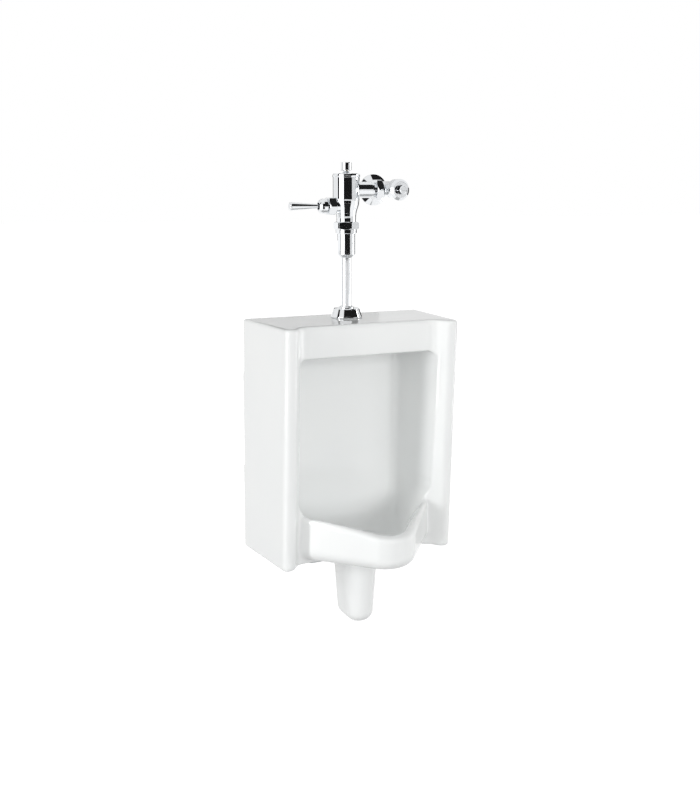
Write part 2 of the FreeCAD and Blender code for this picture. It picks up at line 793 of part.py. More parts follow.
def trap_route():
    """Straight legs joined by tangent bends, front leg first."""
    front_y, back_y = -value("drain_setback"), -value(BACK_LEG)
    dip, top, bend = -value("trap_dip"), value(SUMP_Z), value("outlet_bend")
    up = FreeCAD.Vector(0, 0, 1)
    legs = [
        Part.LineSegment(FreeCAD.Vector(front_y, top, 0), FreeCAD.Vector(front_y, dip, 0)),
        Part.ArcOfCircle(Part.Circle(FreeCAD.Vector((front_y + back_y) / 2, dip, 0), up,
                                     value("trap_bend")), math.pi, 2 * math.pi),
        Part.LineSegment(FreeCAD.Vector(back_y, dip, 0), FreeCAD.Vector(back_y, -bend, 0)),
        Part.ArcOfCircle(Part.Circle(FreeCAD.Vector(back_y + bend, -bend, 0), up, bend),
                         math.pi / 2, math.pi),
        Part.LineSegment(FreeCAD.Vector(back_y + bend, 0, 0), FreeCAD.Vector(0, 0, 0)),
    ]
    edges = [trap_path.addGeometry(leg, False) for leg in legs]
    joins = [(0, 2, 1, 1), (1, 2, 2, 1), (2, 2, 3, 2), (3, 1, 4, 1)]
    for first, end, second, start in joins:
        trap_path.addConstraint(
            Sketcher.Constraint("Tangent", edges[first], end, edges[second], start))
    trap_path.addConstraint(Sketcher.Constraint("Vertical", edges[0]))
    trap_path.addConstraint(Sketcher.Constraint("Vertical", edges[2]))
    bind(trap_path, Sketcher.Constraint("Radius", edges[1], value("trap_bend")), "trap_bend")
    bind(trap_path, Sketcher.Constraint("Radius", edges[3], bend), "outlet_bend")
    pin_point(trap_path, edges[0], 1, "-drain_setback", SUMP_Z)
    bind(trap_path, Sketcher.Constraint("DistanceY", edges[0], 2, dip), "-trap_dip")
    sketch_origin = (-1, 1)
    trap_path.addConstraint(Sketcher.Constraint("Coincident", edges[4], 2, *sketch_origin))


trap_route()
trap_round = circle_at(sketch_on(trap, "XY_Plane", SUMP_Z), "trap_bore", "0", "-drain_setback")
trap_pipe = trap.newObject("PartDesign::AdditivePipe", "trap_pipe")
trap_pipe.Profile = trap_round
trap_pipe.Spine = (trap_path, [])
outlet_mouth = circle_at(sketch_on(trap, "XZ_Plane"), "outlet_bore")
extrude(trap, outlet_mouth, f"outlet_counterbore + {OUTLET_GAP}")

# China: flush chamber in the header with its spud hole and wash holes

SPUD_OUTER = "(tube_radius + tube_gap + spud_wall)"
SPUD_HOLE = f"({SPUD_OUTER} + spud_gasket_wall)"
CHAMBER_HEIGHT = "header_height - 2 * china_wall"

chamber = new_body("flush_chamber")
chamber_plan = outline(sketch_on(chamber, "XY_Plane", "china_top - china_wall"), [
    ("chamber_width / 2", "-chamber_back"), ("-chamber_width / 2", "-chamber_back"),
    ("-chamber_width / 2", "-chamber_front"), ("chamber_width / 2", "-chamber_front")])
extrude(chamber, chamber_plan, CHAMBER_HEIGHT, flip=True)
spud_opening = circle_at(sketch_on(chamber, "XY_Plane", "china_top"), SPUD_HOLE, "0", "-spud_setback")
extrude(chamber, spud_opening, "china_wall * 2", flip=True)
wash_row = sketch_on(chamber, "XY_Plane", "china_top - header_height + china_wall")
for number in range(WASH_HOLES):
    step = number - WASH_HOLES // 2
    circle_at(wash_row, "wash_hole", f"{step} * wash_hole_pitch" if step else "0", "-wash_hole_setback")
extrude(chamber, wash_row, "china_wall + opening_corner", flip=True)

# China: the hollow in each wing, open to the wall, whose ceiling hangs on the wall hanger

WING_HOLLOW_TOP = "china_top - header_height - china_wall"
CAVITY_SPLAY = "((opening_width - cavity_back_width) / 2 / (opening_setback - cavity_back_wall))"
WING_SPLAY = "((back_width - front_width) / 2 / wing_depth)"
WING_HOLLOW_DEPTH = f"({PANEL_SETBACK} - 2 * china_wall)"
WING_HOLLOW_INNER = f"(cavity_back_width / 2 - cavity_back_wall * {CAVITY_SPLAY} + wing_inner_wall)"
WING_HOLLOW_OUTER = "(back_width / 2 - china_wall)"


def wing_hollow(label, side):
    body = new_body(label)
    inner_front = f"({WING_HOLLOW_INNER} + {WING_HOLLOW_DEPTH} * {CAVITY_SPLAY})"
    outer_front = f"({WING_HOLLOW_OUTER} - {WING_HOLLOW_DEPTH} * {WING_SPLAY})"
    corners = [(WING_HOLLOW_INNER, "0"), (WING_HOLLOW_OUTER, "0"),
               (outer_front, f"-{WING_HOLLOW_DEPTH}"), (inner_front, f"-{WING_HOLLOW_DEPTH}")]
    plan = outline(sketch_on(body, "XY_Plane", WING_HOLLOW_TOP), [(side + u, v) for u, v in corners])
    extrude(body, plan, "wing_height - header_height - 2 * china_wall", flip=True)
    return body


BOLT_NUT_START = f"({OUTLET_GAP} + ear_thickness)"
BOLT_LENGTH = f"({BOLT_NUT_START} + bolt_nut_height + bolt_spare)"

ear_holes = new_body("ear_holes")
for radius, start, length in (
        ("bolt_radius + bolt_clearance", "0", BOLT_LENGTH),
        (f"{corner_radius('bolt_nut_flats')} + bolt_nut_room", BOLT_NUT_START,
         "bolt_nut_height + bolt_spare + bolt_nut_room")):
    ear_hole_row = sketch_on(ear_holes, "XZ_Plane", start)
    for side in ("", "-"):
        circle_at(ear_hole_row, radius, f"{side}ear_spacing / 2")
    extrude(ear_holes, ear_hole_row, length)

FLANGE_HALF = "(ear_spacing / 2 + ear_radius)"
FLANGE_RISE = "(spigot_radius + gasket_band / 2)"

RECESS_HALF = f"({FLANGE_HALF} + recess_gap)"
RECESS_RISE = f"({FLANGE_RISE} + recess_gap)"


def recess_in_back(label, half_width, bottom, top, depth):
    """Rectangular recess in the wall face of the china."""
    body = new_body(label)
    plan = outline(sketch_on(body, "XZ_Plane"), [
        (half_width, top), (f"-{half_width}", top), (f"-{half_width}", bottom), (half_width, bottom)])
    extrude(body, plan, depth)
    return body


flange_recess = recess_in_back("flange_recess", RECESS_HALF, f"-{RECESS_RISE}", RECESS_RISE, OUTLET_GAP)
back_recess = recess_in_back("back_recess", f"({WING_HOLLOW_INNER} - china_wall)",
                             f"{RECESS_RISE} + china_wall", WING_HOLLOW_TOP,
                             "cavity_back_wall - china_wall")

china_hollows = doc.addObject("Part::MultiFuse", "china_hollows")
china_hollows.Shapes = [cavity, opening_foot, bowl, trap, chamber, wing_hollow("wing_hollow_right", ""),
                        wing_hollow("wing_hollow_left", "-"), ear_holes, flange_recess,
                        back_recess]
china = doc.addObject("Part::Cut", "urinal_bowl")
china.Base = china_solid
china.Tool = china_hollows
as_node(china, "urinal_bowl")

# Drain strainer: a domed steel disc over the trap, held by a skirt that drops into the bore

SKIRT = "(trap_bore - strainer_fit)"
strainer = turned("drain_strainer", [
    ("0", "strainer_thickness * 2"),
    ("0", "strainer_thickness"),
    (f"{SKIRT} - strainer_skirt_wall", "0"),
    (f"{SKIRT} - strainer_skirt_wall", "-strainer_skirt"),
    (SKIRT, "-strainer_skirt"),
    (SKIRT, "0"),
    ("strainer_radius", "0"),
    ("strainer_radius", "strainer_thickness / 2"),
], y="-drain_setback", z=SUMP_Z)
strainer_holes = sketch_on(strainer, "XY_Plane", "strainer_thickness * 3")
for number in range(STRAINER_HOLES):
    angle = f"{number * 360 / STRAINER_HOLES + STRAINER_TURN}"
    circle_at(strainer_holes, "strainer_hole",
              f"strainer_hole_ring * cos({angle})", f"strainer_hole_ring * sin({angle})")
extrude(strainer, strainer_holes, "strainer_thickness * 4", "Pocket")

# Waste flange on the wall, its gasket and the two bolts that draw the china's ears against it

turned("outlet_gasket", ring_profile(
    "outlet_bore", "outlet_bore + gasket_band", "waste_flange", OUTLET_GAP), towards=(0, -1, 0))

flange = new_body("outlet_flange")
flange_plan = rounded_outline(sketch_on(flange, "XZ_Plane"), [
    (h + FLANGE_HALF, v + FLANGE_RISE, "ear_radius")
    for h, v in (("", ""), ("-", ""), ("-", "-"), ("", "-"))])
circle_at(flange_plan, "outlet_bore")
extrude(flange, flange_plan, "waste_flange")
for radius, depth in (("bolt_radius + bolt_clearance", "waste_flange"),
                      ("bolt_head_radius + bolt_clearance", "bolt_head_height + bolt_clearance")):
    bolt_row = sketch_on(flange, "XZ_Plane")
    for side in ("", "-"):
        circle_at(bolt_row, radius, f"{side}ear_spacing / 2")
    extrude(flange, bolt_row, depth, "Pocket", flip=True)
place(flange)
as_node(flange, "outlet_flange")


def both_sides(label, corners, flats=None):
    """The same turned piece on both bolts, as one node of two solids."""
    pair = []
    for side in ("", "-"):
        body = new_body(label + ("_right" if side == "" else "_left"))
        revolve(body, corners)
        if flats:
            cut_flats(body, flats, flats, corners[0][1], corners[2][1])
        place(body, f"{side}ear_spacing / 2", towards=(0, -1, 0))
        pair.append(body)
    group = doc.addObject("Part::Compound", label)
    group.Links = pair
    as_node(group, label)


both_sides("flange_bolts", [
    ("0", "0"), ("bolt_head_radius", "0"), ("bolt_head_radius", "bolt_head_height"),
    ("bolt_radius", "bolt_head_height"),
    ("bolt_radius", BOLT_LENGTH),
    ("0", BOLT_LENGTH)])
both_sides("flange_nuts", ring_profile(
    "bolt_radius", corner_radius("bolt_nut_flats"), BOLT_NUT_START, f"{BOLT_NUT_START} + bolt_nut_height"),
    "bolt_nut_flats")


# Wall hangers: pressed steel brackets screwed to the wall, one under each wing's ceiling

HANGER_INNER = f"({WING_HOLLOW_INNER} + hanger_hook * {CAVITY_SPLAY} + hanger_gap)"
HANGER_OUTER = f"({WING_HOLLOW_OUTER} - hanger_hook * {WING_SPLAY} - hanger_gap)"


def wall_hanger(label, side):
    body = new_body(label)
    profile = outline(sketch_on(body, "YZ_Plane"), [
        ("0", f"{WING_HOLLOW_TOP} - hanger_height"),
        ("0", WING_HOLLOW_TOP),
        ("-hanger_hook", WING_HOLLOW_TOP),
        ("-hanger_hook", f"{WING_HOLLOW_TOP} - hanger_hook_height"),
        ("-hanger_plate", f"{WING_HOLLOW_TOP} - hanger_hook_height"),
        ("-hanger_plate", f"{WING_HOLLOW_TOP} - hanger_height")])
    extrude(body, profile, f"{HANGER_OUTER} - {HANGER_INNER}", both=True)
    holes = sketch_on(body, "XZ_Plane")
    for rise in ("hanger_hole_rise", "hanger_hole_rise + hanger_hole_spacing"):
        circle_at(holes, "hanger_hole", "0", f"{WING_HOLLOW_TOP} - hanger_height + {rise}")
    extrude(body, holes, "hanger_plate", "Pocket", flip=True)
    place(body, f"{side}({HANGER_OUTER} + {HANGER_INNER}) / 2")
    as_node(body, label)


wall_hanger("wall_hanger_right", "")
wall_hanger("wall_hanger_left", "-")

# Spud: a brass tailpiece sealed into the china, with its nuts hidden under the escutcheon

ON_CHINA = {"y": "-spud_setback", "z": "china_top"}
SPUD_BORE = "tube_radius + tube_gap"
LOCKNUT_START = "(spud_gasket_height + spud_washer_height)"
LOCKNUT_END = f"({LOCKNUT_START} + locknut_height)"

turned("spud_body", [
    (SPUD_BORE, "-spud_foot"),
    (f"{SPUD_OUTER} + spud_foot_lip", "-spud_foot"),
    (f"{SPUD_OUTER} + spud_foot_lip", "-spud_foot + spud_foot_height"),
    (SPUD_OUTER, "-spud_foot + spud_foot_height"),
    (SPUD_OUTER, "spud_top"),
    (SPUD_BORE, "spud_top")], **ON_CHINA)
turned("spud_gasket", [
    (SPUD_OUTER, "-spud_foot + spud_foot_height"),
    (SPUD_HOLE, "-spud_foot + spud_foot_height"),
    (SPUD_HOLE, "0"),
    ("spud_gasket_rim", "0"),
    ("spud_gasket_rim", "spud_gasket_height"),
    (SPUD_OUTER, "spud_gasket_height")], **ON_CHINA)
turned("spud_washer", ring_profile(
    SPUD_OUTER, "spud_gasket_rim", "spud_gasket_height", LOCKNUT_START), **ON_CHINA)


def nut(label, corners, flats, around, bottom, top, **where):
    body = turned(label, corners, **where)
    cut_flats(body, flats, around, bottom, top)
    return body


nut("spud_locknut", ring_profile(SPUD_OUTER, corner_radius("locknut_flats"), LOCKNUT_START, LOCKNUT_END),
    "locknut_flats", "locknut_flats", LOCKNUT_START, LOCKNUT_END, **ON_CHINA)
SEAL_TOP = "(spud_top + tube_seal_height)"
nut("spud_coupling_nut", [
    (SPUD_OUTER, LOCKNUT_END),
    (corner_radius("tube_nut_flats"), LOCKNUT_END),
    (corner_radius("tube_nut_flats"), f"{SEAL_TOP} + tube_nut_lip"),
    ("tube_radius + tube_gap", f"{SEAL_TOP} + tube_nut_lip"),
    ("tube_radius + tube_gap", SEAL_TOP),
    (SPUD_OUTER, SEAL_TOP)],
    "tube_nut_flats", "tube_nut_flats", LOCKNUT_END, f"{SEAL_TOP} + tube_nut_lip", **ON_CHINA)
turned("tube_seal", ring_profile("tube_radius", SPUD_OUTER, "spud_top", SEAL_TOP), **ON_CHINA)

# The bottom rim of the escutcheon is a small roll, its skirt a cone, with a collar on its shelf
turned("spud_escutcheon", [
    ("escutcheon_radius - escutcheon_wall", "0"),
    ("escutcheon_radius", "0", "escutcheon_rim", 1),
    ("escutcheon_radius", "escutcheon_rim"),
    ("escutcheon_top_radius", "escutcheon_height - escutcheon_wall"),
    ("escutcheon_top_radius - escutcheon_wall", "escutcheon_height"),
    ("collar_radius", "escutcheon_height"),
    ("collar_radius", "escutcheon_height + collar_height / 2"),
    ("collar_radius - escutcheon_wall", "escutcheon_height + collar_height"),
    ("tube_radius + tube_gap", "escutcheon_height + collar_height"),
    ("tube_radius + tube_gap", "escutcheon_height - escutcheon_wall"),
    ("escutcheon_top_radius - 2 * escutcheon_wall", "escutcheon_height - escutcheon_wall"),
    ("escutcheon_radius - escutcheon_wall", "escutcheon_rim")], **ON_CHINA)

# Flush tube and vacuum breaker

turned("flush_tube", ring_profile(
    "tube_radius - tube_wall", "tube_radius", "spud_top - tube_overlap", "breaker_level + breaker_cone"),
    **ON_CHINA)
BREAKER_INNER = "(breaker_radius - breaker_wall)"
BREAKER_TOP = "(breaker_level + breaker_length)"
turned("vacuum_breaker_tube", [
    ("tube_radius", "breaker_level"),
    ("breaker_neck", "breaker_level"),
    ("breaker_radius", "breaker_level + breaker_cone"),
    ("breaker_radius", BREAKER_TOP),
    ("neck_thread", BREAKER_TOP),
    ("neck_thread", f"{BREAKER_TOP} + breaker_flange"),
    (BREAKER_INNER, f"{BREAKER_TOP} + breaker_flange"),
    (BREAKER_INNER, "breaker_level + breaker_cone + breaker_wall"),
    ("tube_radius - tube_wall", "breaker_level + breaker_cone + breaker_wall"),
    ("tube_radius - tube_wall", "breaker_level + breaker_cone"),
    ("tube_radius", "breaker_level + breaker_cone")], **ON_CHINA)
INSERT_BASE = f"({BREAKER_TOP} + breaker_flange)"
INSERT_TOP = f"({INSERT_BASE} + insert_flange)"
turned("vacuum_breaker_insert", [
    ("insert_mouth", f"{INSERT_BASE} - insert_length"),
    ("insert_mouth + insert_wall", f"{INSERT_BASE} - insert_length"),
    (f"{BREAKER_INNER} - insert_wall", INSERT_BASE),
    ("neck_thread", INSERT_BASE),
    ("neck_thread", INSERT_TOP),
    ("insert_bore", INSERT_TOP)], **ON_CHINA)
turned("coupling_gasket", ring_profile(
    "outlet_passage", "neck_thread", INSERT_TOP, f"{INSERT_TOP} + coupling_gasket_height"), **ON_CHINA)
NUT_FOOT = f"({BREAKER_TOP} - coupling_lip)"
NUT_TOP = f"({NUT_FOOT} + coupling_height)"
nut("coupling_nut", [
    ("breaker_radius + thread_gap", NUT_FOOT),
    ("coupling_skirt_radius - coupling_chamfer / 2", NUT_FOOT),
    ("coupling_skirt_radius", f"{NUT_FOOT} + coupling_chamfer / 2"),
    ("coupling_skirt_radius", f"{NUT_FOOT} + coupling_skirt"),
    ("coupling_corner - coupling_chamfer", f"{NUT_FOOT} + coupling_skirt"),
    ("coupling_corner", f"{NUT_FOOT} + coupling_skirt + coupling_chamfer"),
    ("coupling_corner", f"{NUT_TOP} - coupling_chamfer"),
    ("coupling_corner - coupling_shoulder", NUT_TOP),
    ("neck_thread + thread_gap", NUT_TOP),
    ("neck_thread + thread_gap", BREAKER_TOP),
    ("breaker_radius + thread_gap", BREAKER_TOP)],
    "coupling_flats", "coupling_corner", f"{NUT_FOOT} + coupling_skirt", NUT_TOP, **ON_CHINA)

# Valve body: a turned brass casting with a boss for the handle and one for the inlet

VALVE_BASE = f"({INSERT_TOP} + coupling_gasket_height)"
ON_COUPLING = {"x": "0", "y": "-spud_setback", "z": f"china_top + {VALVE_BASE}"}
FLARE_RUN = "((valve_radius - neck_radius) / 2)"
FLARE_RISE = "((flare_top - neck_top) / 2)"
FLARE_ROUND = f"({FLARE_RUN} ^ 2 + {FLARE_RISE} ^ 2) / 2 / {FLARE_RUN}"
THREAD_TOP = f"({NUT_TOP} - {VALVE_BASE})"
COVER_FLOOR = "(valve_height - cover_depth)"

valve = turned("valve_body", [
    ("0", "0"),
    ("neck_thread", "0"),
    ("neck_thread", THREAD_TOP),
    ("neck_radius", THREAD_TOP),
    ("neck_radius", "neck_top", FLARE_ROUND, -1),
    (f"neck_radius + {FLARE_RUN}", f"neck_top + {FLARE_RISE}", FLARE_ROUND, 1),
    ("valve_radius", "flare_top"),
    ("valve_radius", "valve_height"),
    ("0", "valve_height")], **ON_COUPLING)
side_round(valve, "YZ_Plane", "handle_boss", "handle_level", "handle_boss_reach", flip=True)
side_round(valve, "YZ_Plane", "handle_thread", "handle_level", "handle_reach", flip=True)
side_round(valve, "YZ_Plane", "inlet_boss", "inlet_level", "inlet_boss_reach")
side_round(valve, "YZ_Plane", "inlet_step", "inlet_level", "inlet_reach")
revolve(valve, [
    ("0", "0"),
    ("outlet_passage", "0"),
    ("outlet_passage", "seat_level"),
    ("seat_radius", "seat_level"),
    ("seat_radius", "seat_level + seat_recess"),
    ("chamber_bore", "seat_level + seat_recess"),
    ("chamber_bore", COVER_FLOOR),
    ("cover_bore", COVER_FLOOR),
    ("cover_bore", "valve_height"),
    ("0", "valve_height")], "Groove")
side_round(valve, "YZ_Plane", "plunger_radius + plunger_room", "handle_level", "handle_reach", "Pocket")
side_round(valve, "YZ_Plane", "bushing_radius", "handle_level", "bushing_length", "Pocket", flip=True,
           lift="-handle_reach")
side_round(valve, "YZ_Plane", "inlet_passage", "inlet_level", "inlet_reach", "Pocket", flip=True)
side_round(valve, "YZ_Plane", "inlet_bore", "inlet_level", "inlet_reach - inlet_bore_start", "Pocket",
           lift="inlet_reach")

turned("main_seat", ring_profile(
    "seat_bore", "seat_radius", "seat_level", "seat_level + seat_height"), **ON_COUPLING)

# Piston with its rubber cup, and the relief valve whose stem the plunger tips

PISTON_FOOT = "(seat_level + seat_height + moving_gap)"
PISTON_SHELF = f"({PISTON_FOOT} + piston_skirt + piston_flange)"
PISTON_TOP = f"({PISTON_SHELF} + cup_height)"
turned("piston", [
    ("relief_hole", PISTON_FOOT),
    ("piston_radius", PISTON_FOOT),
    ("piston_radius", f"{PISTON_FOOT} + piston_skirt"),
    ("piston_flange_radius", f"{PISTON_FOOT} + piston_skirt"),
    ("piston_flange_radius", PISTON_SHELF),
    ("cup_inner", PISTON_SHELF),
    ("cup_inner", PISTON_TOP),
    ("relief_hole", PISTON_TOP)], **ON_COUPLING)
turned("piston_cup", ring_profile(
    "cup_inner", "chamber_bore - moving_gap", PISTON_SHELF, PISTON_TOP), **ON_COUPLING)
RELIEF_SEAT = f"({PISTON_TOP} + moving_gap)"
turned("relief_valve", [
    ("0", "handle_level - relief_reach"),
    ("relief_stem", "handle_level - relief_reach"),
    ("relief_stem", RELIEF_SEAT),
    ("relief_head", RELIEF_SEAT),
    ("relief_head", f"{RELIEF_SEAT} + relief_head_height"),
    ("0", f"{RELIEF_SEAT} + relief_head_height")], **ON_COUPLING)

# Inside cover with its gasket, held down by the outer cap

COVER_FOOT = f"({COVER_FLOOR} + cover_gasket_height)"
COVER_TOP = f"({COVER_FOOT} + cover_flange)"
DOME_TOP = f"({COVER_TOP} + dome_height)"
SPINDLE_HOLE = "spindle_radius + running_fit"
turned("cover_gasket", ring_profile(
    "cover_gasket_inner", "cover_bore - cover_fit", COVER_FLOOR, COVER_FOOT), **ON_COUPLING)
turned("inside_cover", [
    ("dome_radius - dome_wall", COVER_FOOT),
    ("cover_bore - cover_fit", COVER_FOOT),
    ("cover_bore - cover_fit", COVER_TOP),
    ("dome_radius", COVER_TOP),
    ("dome_radius", DOME_TOP),
    (SPINDLE_HOLE, DOME_TOP),
    (SPINDLE_HOLE, f"{DOME_TOP} - dome_wall"),
    ("dome_radius - dome_wall", f"{DOME_TOP} - dome_wall")], **ON_COUPLING)

CAP_TOP = "(valve_height + cap_height)"
CAP_NECK_TOP = f"({CAP_TOP} + cap_neck_height)"
RING_MIDDLE = "(spindle_radius + o_ring_gap + o_ring_section)"
RING_POCKET = f"({RING_MIDDLE} + o_ring_section + o_ring_gap)"
RING_LEVEL = f"({CAP_TOP} - cap_wall + o_ring_room + o_ring_section)"
turned("outer_cap", [
    ("cap_inner", COVER_TOP),
    ("cover_bore - running_fit", COVER_TOP),
    ("cover_bore - running_fit", "valve_height"),
    ("valve_radius", "valve_height", "cap_bead", 1),
    ("valve_radius", CAP_TOP),
    ("cap_neck_foot", CAP_TOP, "cap_neck_round", -1),
    ("cap_neck_radius", CAP_NECK_TOP),
    (SPINDLE_HOLE, CAP_NECK_TOP),
    (SPINDLE_HOLE, f"{RING_LEVEL} + o_ring_section + o_ring_room + regulator_travel"),
    (RING_POCKET, f"{RING_LEVEL} + o_ring_section + o_ring_room + regulator_travel"),
    (RING_POCKET, f"{CAP_TOP} - cap_wall"),
    ("cap_inner", f"{CAP_TOP} - cap_wall")], **ON_COUPLING)

KNOB_FOOT = f"({CAP_NECK_TOP} + moving_gap)"
turned("regulator_spindle", [
    ("0", f"{DOME_TOP} - dome_wall - spindle_end"),
    ("spindle_radius", f"{DOME_TOP} - dome_wall - spindle_end"),
    ("spindle_radius", f"{KNOB_FOOT} + spindle_in_knob"),
    ("0", f"{KNOB_FOOT} + spindle_in_knob")], **ON_COUPLING)
turned("regulator_knob", [
    ("spindle_radius", KNOB_FOOT),
    ("knob_radius - knob_round", KNOB_FOOT, "knob_round", 1),
    ("knob_radius", f"{KNOB_FOOT} + knob_round"),
    ("knob_radius", f"{KNOB_FOOT} + knob_height - knob_round", "knob_round", 1),
    ("knob_radius - knob_round", f"{KNOB_FOOT} + knob_height"),
    ("0", f"{KNOB_FOOT} + knob_height"),
    ("0", f"{KNOB_FOOT} + spindle_in_knob"),
    ("spindle_radius", f"{KNOB_FOOT} + spindle_in_knob")], **ON_COUPLING)
o_ring("regulator_o_ring", RING_MIDDLE, "o_ring_section", RING_LEVEL, **ON_COUPLING)

# Handle: bushing and plunger in the boss, a socket clamped by its nut, and the lever

TO_LEFT = {"x": "0", "y": "-spud_setback", "z": f"china_top + {VALVE_BASE} + handle_level",
           "towards": (-1, 0, 0)}
PACKING_START = "(handle_reach - packing_pocket)"
turned("handle_bushing", [
    ("plunger_radius + running_fit", "handle_reach - bushing_length"),
    ("bushing_radius", "handle_reach - bushing_length"),
    ("bushing_radius", "handle_reach"),
    ("packing_radius", "handle_reach"),
    ("packing_radius", PACKING_START),
    ("plunger_radius + running_fit", PACKING_START)], **TO_LEFT)
turned("plunger_packing", ring_profile(
    "plunger_radius + moving_gap", "packing_radius", PACKING_START, f"{PACKING_START} + packing_length"),
    **TO_LEFT)
PLUNGER_END = "(plunger_head_reach + plunger_head_thickness)"
turned("plunger", [
    ("0", "plunger_tip"),
    ("plunger_radius", "plunger_tip"),
    ("plunger_radius", "plunger_head_reach"),
    ("plunger_head", "plunger_head_reach"),
    ("plunger_head", PLUNGER_END),
    ("0", PLUNGER_END)], **TO_LEFT)

SPRING_START = "(handle_reach + spring_gap + spring_wire)"
SPRING_LENGTH = f"(plunger_head_reach - spring_gap - spring_wire - {SPRING_START})"
spring = doc.addObject("Part::Feature", "plunger_spring")
spring_path = Part.makeHelix(value(f"{SPRING_LENGTH} / spring_coils"), value(SPRING_LENGTH),
                             value("spring_radius"))
spring_round = Part.Wire(Part.Circle(FreeCAD.Vector(value("spring_radius"), 0, 0),
                                     FreeCAD.Vector(0, 1, 0), value("spring_wire")).toShape())
spring.Shape = Part.Wire(spring_path).makePipeShell([spring_round], True, True)
place(spring, f"-{SPRING_START}", TO_LEFT["y"], TO_LEFT["z"], TO_LEFT["towards"])
as_node(spring, "plunger_spring")

SOCKET_LIP = "(handle_reach + socket_flange)"
nut("handle_nut", [
    ("handle_thread", "handle_boss_reach"),
    ("handle_nut_corner - handle_nut_chamfer", "handle_boss_reach"),
    ("handle_nut_corner", "handle_boss_reach + handle_nut_chamfer"),
    ("handle_nut_corner", "handle_nut_reach - handle_nut_chamfer"),
    ("handle_nut_corner - handle_nut_chamfer", "handle_nut_reach"),
    ("socket_neck", "handle_nut_reach"),
    ("socket_neck", SOCKET_LIP),
    ("handle_thread", SOCKET_LIP)],
    "handle_nut_flats", "handle_nut_corner", "handle_boss_reach", "handle_nut_reach", **TO_LEFT)
turned("handle_socket", [
    ("socket_bore", "handle_reach"),
    ("socket_flange_radius", "handle_reach"),
    ("socket_flange_radius", SOCKET_LIP),
    ("socket_neck", SOCKET_LIP),
    ("socket_neck", "handle_nut_reach"),
    ("socket_dome", "socket_dome_start"),
    ("socket_dome", "(socket_dome_start + socket_dome_end) / 2", "socket_dome_end - socket_dome_start", 1),
    ("socket_mouth", "socket_dome_end"),
    ("socket_hole", "socket_dome_end"),
    ("socket_hole", "socket_bore_end"),
    ("socket_bore", "socket_bore_end")], **TO_LEFT)
LEVER_START = f"({PLUNGER_END} + lever_gap)"
LEVER_NECK_START = f"({LEVER_START} + lever_flange)"
turned("handle_lever", [
    ("0", LEVER_START),
    ("lever_flange_radius", LEVER_START),
    ("lever_flange_radius", LEVER_NECK_START),
    ("lever_neck", LEVER_NECK_START),
    ("lever_neck", "socket_dome_end + lever_gap"),
    ("lever_grip", "lever_length - lever_end_round", "lever_end_round", 1),
    ("lever_grip - lever_end_round", "lever_length"),
    ("0", "lever_length")], **TO_LEFT)

# Inlet arm: a sliding tail with its O-ring, drawn onto the stop by the coupling nut

TO_RIGHT = {"x": "0", "y": "-spud_setback", "z": f"china_top + {VALVE_BASE} + inlet_level",
            "towards": (1, 0, 0)}
TAIL_OUTER = "(inlet_bore - tail_fit)"
TAIL_GROOVE_FLOOR = f"({TAIL_OUTER} - 2 * inlet_ring_section + tail_fit)"
TAIL_GROOVE_END = "(tail_groove + 2 * inlet_ring_section + tail_fit)"
TAIL_FLANGE_START = "(tail_end - tail_flange_height)"
turned("inlet_tail", [
    (f"{TAIL_OUTER} - tail_wall", "inlet_bore_start + tail_room"),
    (TAIL_OUTER, "inlet_bore_start + tail_room"),
    (TAIL_OUTER, "tail_groove"),
    (TAIL_GROOVE_FLOOR, "tail_groove"),
    (TAIL_GROOVE_FLOOR, TAIL_GROOVE_END),
    (TAIL_OUTER, TAIL_GROOVE_END),
    (TAIL_OUTER, TAIL_FLANGE_START),
    ("tail_flange", TAIL_FLANGE_START),
    ("tail_flange", "tail_end"),
    (f"{TAIL_OUTER} - tail_wall", "tail_end")], **TO_RIGHT)
o_ring("inlet_o_ring", f"{TAIL_GROOVE_FLOOR} + inlet_ring_section", "inlet_ring_section",
       f"({TAIL_GROOVE_END} + tail_groove) / 2", **TO_RIGHT)
nut("inlet_coupling_nut", [
    (TAIL_OUTER, "inlet_nut_start"),
    ("inlet_nut_corner - inlet_nut_chamfer", "inlet_nut_start"),
    ("inlet_nut_corner", "inlet_nut_start + inlet_nut_chamfer"),
    ("inlet_nut_corner", "inlet_nut_end - inlet_nut_chamfer"),
    ("inlet_nut_corner - inlet_nut_chamfer", "inlet_nut_end"),
    ("stop_boss + thread_gap", "inlet_nut_end"),
    ("stop_boss + thread_gap", TAIL_FLANGE_START),
    (TAIL_OUTER, TAIL_FLANGE_START)],
    "inlet_nut_flats", "inlet_nut_corner", "inlet_nut_start", "inlet_nut_end", **TO_RIGHT)

# Control stop: a body on the supply pipe, whose screw closes a washer onto the seat

TO_FRONT = {"x": "stop_offset", "y": "0", "z": f"china_top + {VALVE_BASE} + inlet_level",
            "towards": (0, -1, 0)}
PIPE_END = "(stop_start + pipe_overlap)"
turned("supply_nipple", ring_profile("pipe_bore", "pipe_radius", "0", PIPE_END), **TO_FRONT)
stop = turned("stop_body", [
    ("0", "stop_start"), ("stop_radius", "stop_start"), ("stop_radius", "stop_end"), ("0", "stop_end")],
    **TO_FRONT)
side_round(stop, "YZ_Plane", "stop_boss", "spud_setback", "stop_offset - tail_end", flip=True)
revolve(stop, [
    ("0", "stop_start"),
    ("pipe_radius", "stop_start"),
    ("pipe_radius", PIPE_END),
    ("pipe_bore", PIPE_END),
    ("pipe_bore", "stop_seat - stop_seat_wall"),
    ("stop_seat_bore", "stop_seat - stop_seat_wall"),
    ("stop_seat_bore", "stop_seat"),
    ("stop_chamber", "stop_seat"),
    ("stop_chamber", "stop_end"),
    ("0", "stop_end")], "Groove")
side_round(stop, "YZ_Plane", "stop_port", "spud_setback", "stop_offset", "Pocket")

